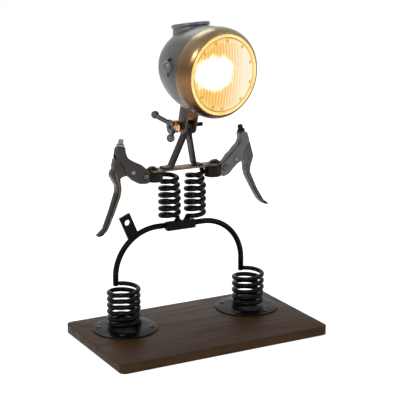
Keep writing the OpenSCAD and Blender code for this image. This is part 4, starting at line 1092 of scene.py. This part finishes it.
collar_metal = finish("collar_gunmetal", (104, 106, 109), (80, 81, 84), 0.3, 0.4, metallic=0.6,
                      scale=50, amount=0.6, depth=0.00001, specular=0.25)
dome_r, dome_sunk = 9.9, 4.2
dome_line = [polar(dome_r, a) for a in (28, 36, 44, 53, 62, 72, 81, 88)]
boss_line = [(9.5, None), (9.3, -1.5), (9.3, -0.6), (9.0, 0), (8.8, 0.2)]
boss_line += [(r, z - dome_sunk) for r, z in dome_line]
heads = []
for side, word in sides.items():
    out_from = in_lamp @ at(0, -boss_h, boss_s) @ turned_about("Y", side * 90)
    boss = standing(boss_line, out_from @ at(0, 0, boss_out), 56)
    paired(word, "side_boss", "turned", boss, collar_metal, "collar_metal", "head")
    for up in (-1, 1):
        place = out_from @ at(0, up * boss_screw_pitch, screw_out)
        heads.append(standing([(2.0, None), (2.0, 0), (1.7, 0.5), (1.3, 0.8)], place, 20))
piece("side_screws_small", joined(*heads), dark_bolt, "dark_steel", "head", "side_screws")

# ---- Top collar and its cap ----
# A collar spun from sheet steel, welded to the top of the bowl and leaning back, with a rolled
# rim. A flat cap closes it just below the rim.

collar_back, collar_z, collar_lean = 77, 446.6, 10.5
back_x, back_y = polar(collar_back, lamp_yaw + 90)
at_collar = (at(lamp_x + back_x, lamp_y + back_y, collar_z) @ turned_about("Z", lamp_yaw)
             @ turned_about("X", -collar_lean))
rolled = [(24.4, 2.2), (25.4, 2.8), (26.2, 2.6), (26.8, 2.1), (27.3, 1.2), (27.3, -1), (26.8, -2),
          (26.2, -2.6), (25.5, -2.8), (25.7, -5), (26, -8)]
on_bowl = (25.2, None)
collar = standing([on_bowl, (24.8, -12), (24, -2.8), (24, 0.8)] + rolled
                  + [(26.6, None), (28.4, None), on_bowl], at_collar, 96)
piece("top_collar_spun", collar, collar_metal, "collar_metal", "head", "top_collar")
cap = turned(eased([(0, -1.6), (23.9, -1.6), (23.9, 0.1), (22, 0.2), (0, 0.2)], 0.4), at_collar, 96)
piece("collar_cap_pressed", cap, collar_metal, "collar_metal", "head", "collar_cap")

# ---- Lens and its ring ----
# A domed lens of clear pressed glass with upright flutes and twelve dimples near its edge, held
# in a golden ring. Its colour is the lit bulb's light, painted: an amber glow with a painted white
# hot spot left of its middle, painted amber in its flutes, and a painted golden glow in its dimples
# and at its rim.

lens_r, lens_dome, lens_front_s, lens_t = 51, 5, 0.6, 2.9
lens_sphere = (lens_r ** 2 + lens_dome ** 2) / (2 * lens_dome)
flute_pitch, flute_depth, fluted_r, flute_fade = 5.0, 0.45, 44, 2
dimple_angles = [18, 52, 87, 111, 138, 163, 188, 216, 248, 268, 310, 344]
dimple_at, dimple_r, dimple_depth = 47, 2.4, 1.1


def lens_front(r):
    """The lens's front at a radius, in millimetres behind the lamp's front plane."""
    return lens_front_s - lens_dome + lens_sphere - math.sqrt(lens_sphere ** 2 - r ** 2)


front_rings, back_rings = 46, 12
radii = [lens_r * i / front_rings for i in range(front_rings + 1)]
profile = [(r, lens_front(r)) for r in radii] + [(lens_r, lens_front_s + lens_t)]
radii = [lens_r * k / back_rings for k in range(back_rings - 1, -1, -1)]
profile += [(r, lens_front(r) + lens_t) for r in radii]
bm = turned(profile, None, 240)
dimples = [Vector(polar(dimple_at, -a)) for a in dimple_angles]
for v in bm.verts:
    x, y, s = v.co / MM
    r = math.hypot(x, y)
    if s < lens_front(r) + 0.5 and r < lens_r - 0.5:
        wave = 0.5 - 0.5 * math.cos(2 * math.pi * x / flute_pitch)
        sink = max(0, min(1, (fluted_r - r) / flute_fade)) * flute_depth * wave
        for d in dimples:
            near = (Vector((x, y)) - d).length / dimple_r
            if near < 1:
                sink = max(sink, dimple_depth * (1 - near ** 2))
        v.co.z += sink * MM

fluted, tree, shader, spot = bare_material("fluted_glass")
local = add(tree, "Mapping", {"Vector": spot, "Location": in_lamp.translation,
                              "Rotation": in_lamp.to_euler()}, vector_type="TEXTURE").outputs[0]
local = add(tree, "VectorMath", {0: local, 3: 1 / MM}, operation="SCALE").outputs[0]
x = add(tree, "SeparateXYZ", {0: local}).outputs["X"]
bands = maths(tree, "COSINE", maths(tree, "MULTIPLY", x, 2 * math.pi / flute_pitch))
bands = remap(tree, bands, -1, 1)
unevenness = add(tree, "TexNoise", {"Vector": local, "Scale": 0.09, "Detail": 2.0}).outputs[0]
radius = add(tree, "VectorMath", {0: local}, operation="LENGTH").outputs["Value"]
# The painted white hot spot, the bulb's light as it shows from the front left, stands left of the
# lens's middle, and its edge is ragged.
glow_middle, glow_stretch, glow_r = (-20, -4.5, 0), (0.75, 1, 1), 20
hot_r = distance(tree, local, glow_middle, glow_stretch)
hot_r = maths(tree, "ADD", hot_r, maths(tree, "MULTIPLY", bands, 1.6))
hot_r = maths(tree, "ADD", hot_r, remap(tree, unevenness, 0.3, 0.7, -2.5, 2.5))
painted_hot_spot = remap(tree, hot_r, glow_r, glow_r + 7, 1, 0)
away = remap(tree, hot_r, glow_r + 2, glow_r + 10)
# Painted light: amber lies in the flutes of the left half, and fainter on the right and near the
# edge, and the pale glow turns whiter to the right.
amber = maths(tree, "MULTIPLY", maths(tree, "MULTIPLY", remap(tree, x, -34, 30, 1, 0), away),
              maths(tree, "ADD", maths(tree, "MULTIPLY", bands, 0.75), 0.25))
amber = maths(tree, "MULTIPLY", amber, remap(tree, radius, fluted_r - 0.5, fluted_r + 1.5, 1, 0.3))
faint = maths(tree, "MULTIPLY", bands, remap(tree, x, 4, 30, 1, 0.4))
faint = maths(tree, "MULTIPLY", faint, maths(tree, "MULTIPLY", away, 0.4))
pale = blended(tree, remap(tree, x, -20, 34), (253, 228, 138), (249, 249, 224))
colour = blended(tree, maths(tree, "ADD", amber, faint, clamp=True), pale, (238, 176, 82))
# Painted light: a golden glow in each dimple and at the lens's rim.
for d in dimples:
    gone = distance(tree, local, (d.x, d.y, 0), (1, 1, 0))
    golden = remap(tree, gone, dimple_r / 2, dimple_r + 0.8, 0.95, 0)
    colour = blended(tree, golden, colour, (222, 152, 36))
golden = remap(tree, radius, lens_r - 1.4, lens_r - 0.6)
colour = blended(tree, golden, colour, (206, 158, 84))
colour = blended(tree, painted_hot_spot, colour, (1.6, 1.5, 1.25, 1))
feed(tree, shader, {"Emission Color": colour, "Emission Strength": 0.9, "Specular IOR Level": 0.2,
                    "Base Color": tone((90, 60, 26)),
                    "Roughness": remap(tree, unevenness, 0.3, 0.7, 0.08, 0.2)})
piece("lens_fluted", moved(bm, in_lamp), fluted, "lens_glass", "head", "lens")

# The cream ring's faint glow is painted light from the lit lamp.
ring_cream_painted_glow = finish("cream_ring_painted_glow", (246, 214, 142), (222, 176, 92), 0.25, 0.4, scale=40.0,
                   depth=0, glow=0.3)
ring_profile = eased([(51.7, 3), (51.7, 0.2), (53, -1.2), (55, -1.2), (56.2, 0.2), (56.2, 3)], 0.8)
piece("lens_ring_cream", turned(ring_profile, in_lamp, 160, closed=True), ring_cream_painted_glow, "ring_cream",
      "head", "lens_ring")

# ---- Parts inside the headlamp ----
# A gasket behind the lens, a polished reflector, and a bulb in a ceramic holder with its two
# wires. They show only when the lamp is taken apart, so they keep their plain turned forms.

inside = {
    "lens_gasket": rubber,
    "reflector": finish("reflector_polish", (236, 232, 224), (206, 200, 190), 0.08, 0.2,
                        metallic=0.95, scale=30),
    "bulb_glass": finish("lit_bulb", (255, 246, 220), (255, 232, 180), 0.15, 0.3, amount=0.8,
                         depth=0, glow=1.0),
    "bulb_cap": finish("bulb_cap_brass", (196, 172, 120), (150, 124, 78), 0.24, 0.4, metallic=0.9,
                       scale=90),
    "bulb_holder": finish("ceramic", (238, 232, 218), (218, 210, 194), 0.3, 0.5, scale=60),
    "lamp_wires": finish("wire_cover", (170, 36, 28), (128, 24, 20), 0.45, 0.6, scale=200),
}
for name, material in inside.items():
    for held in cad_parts[name].material_slots:
        held.material = material
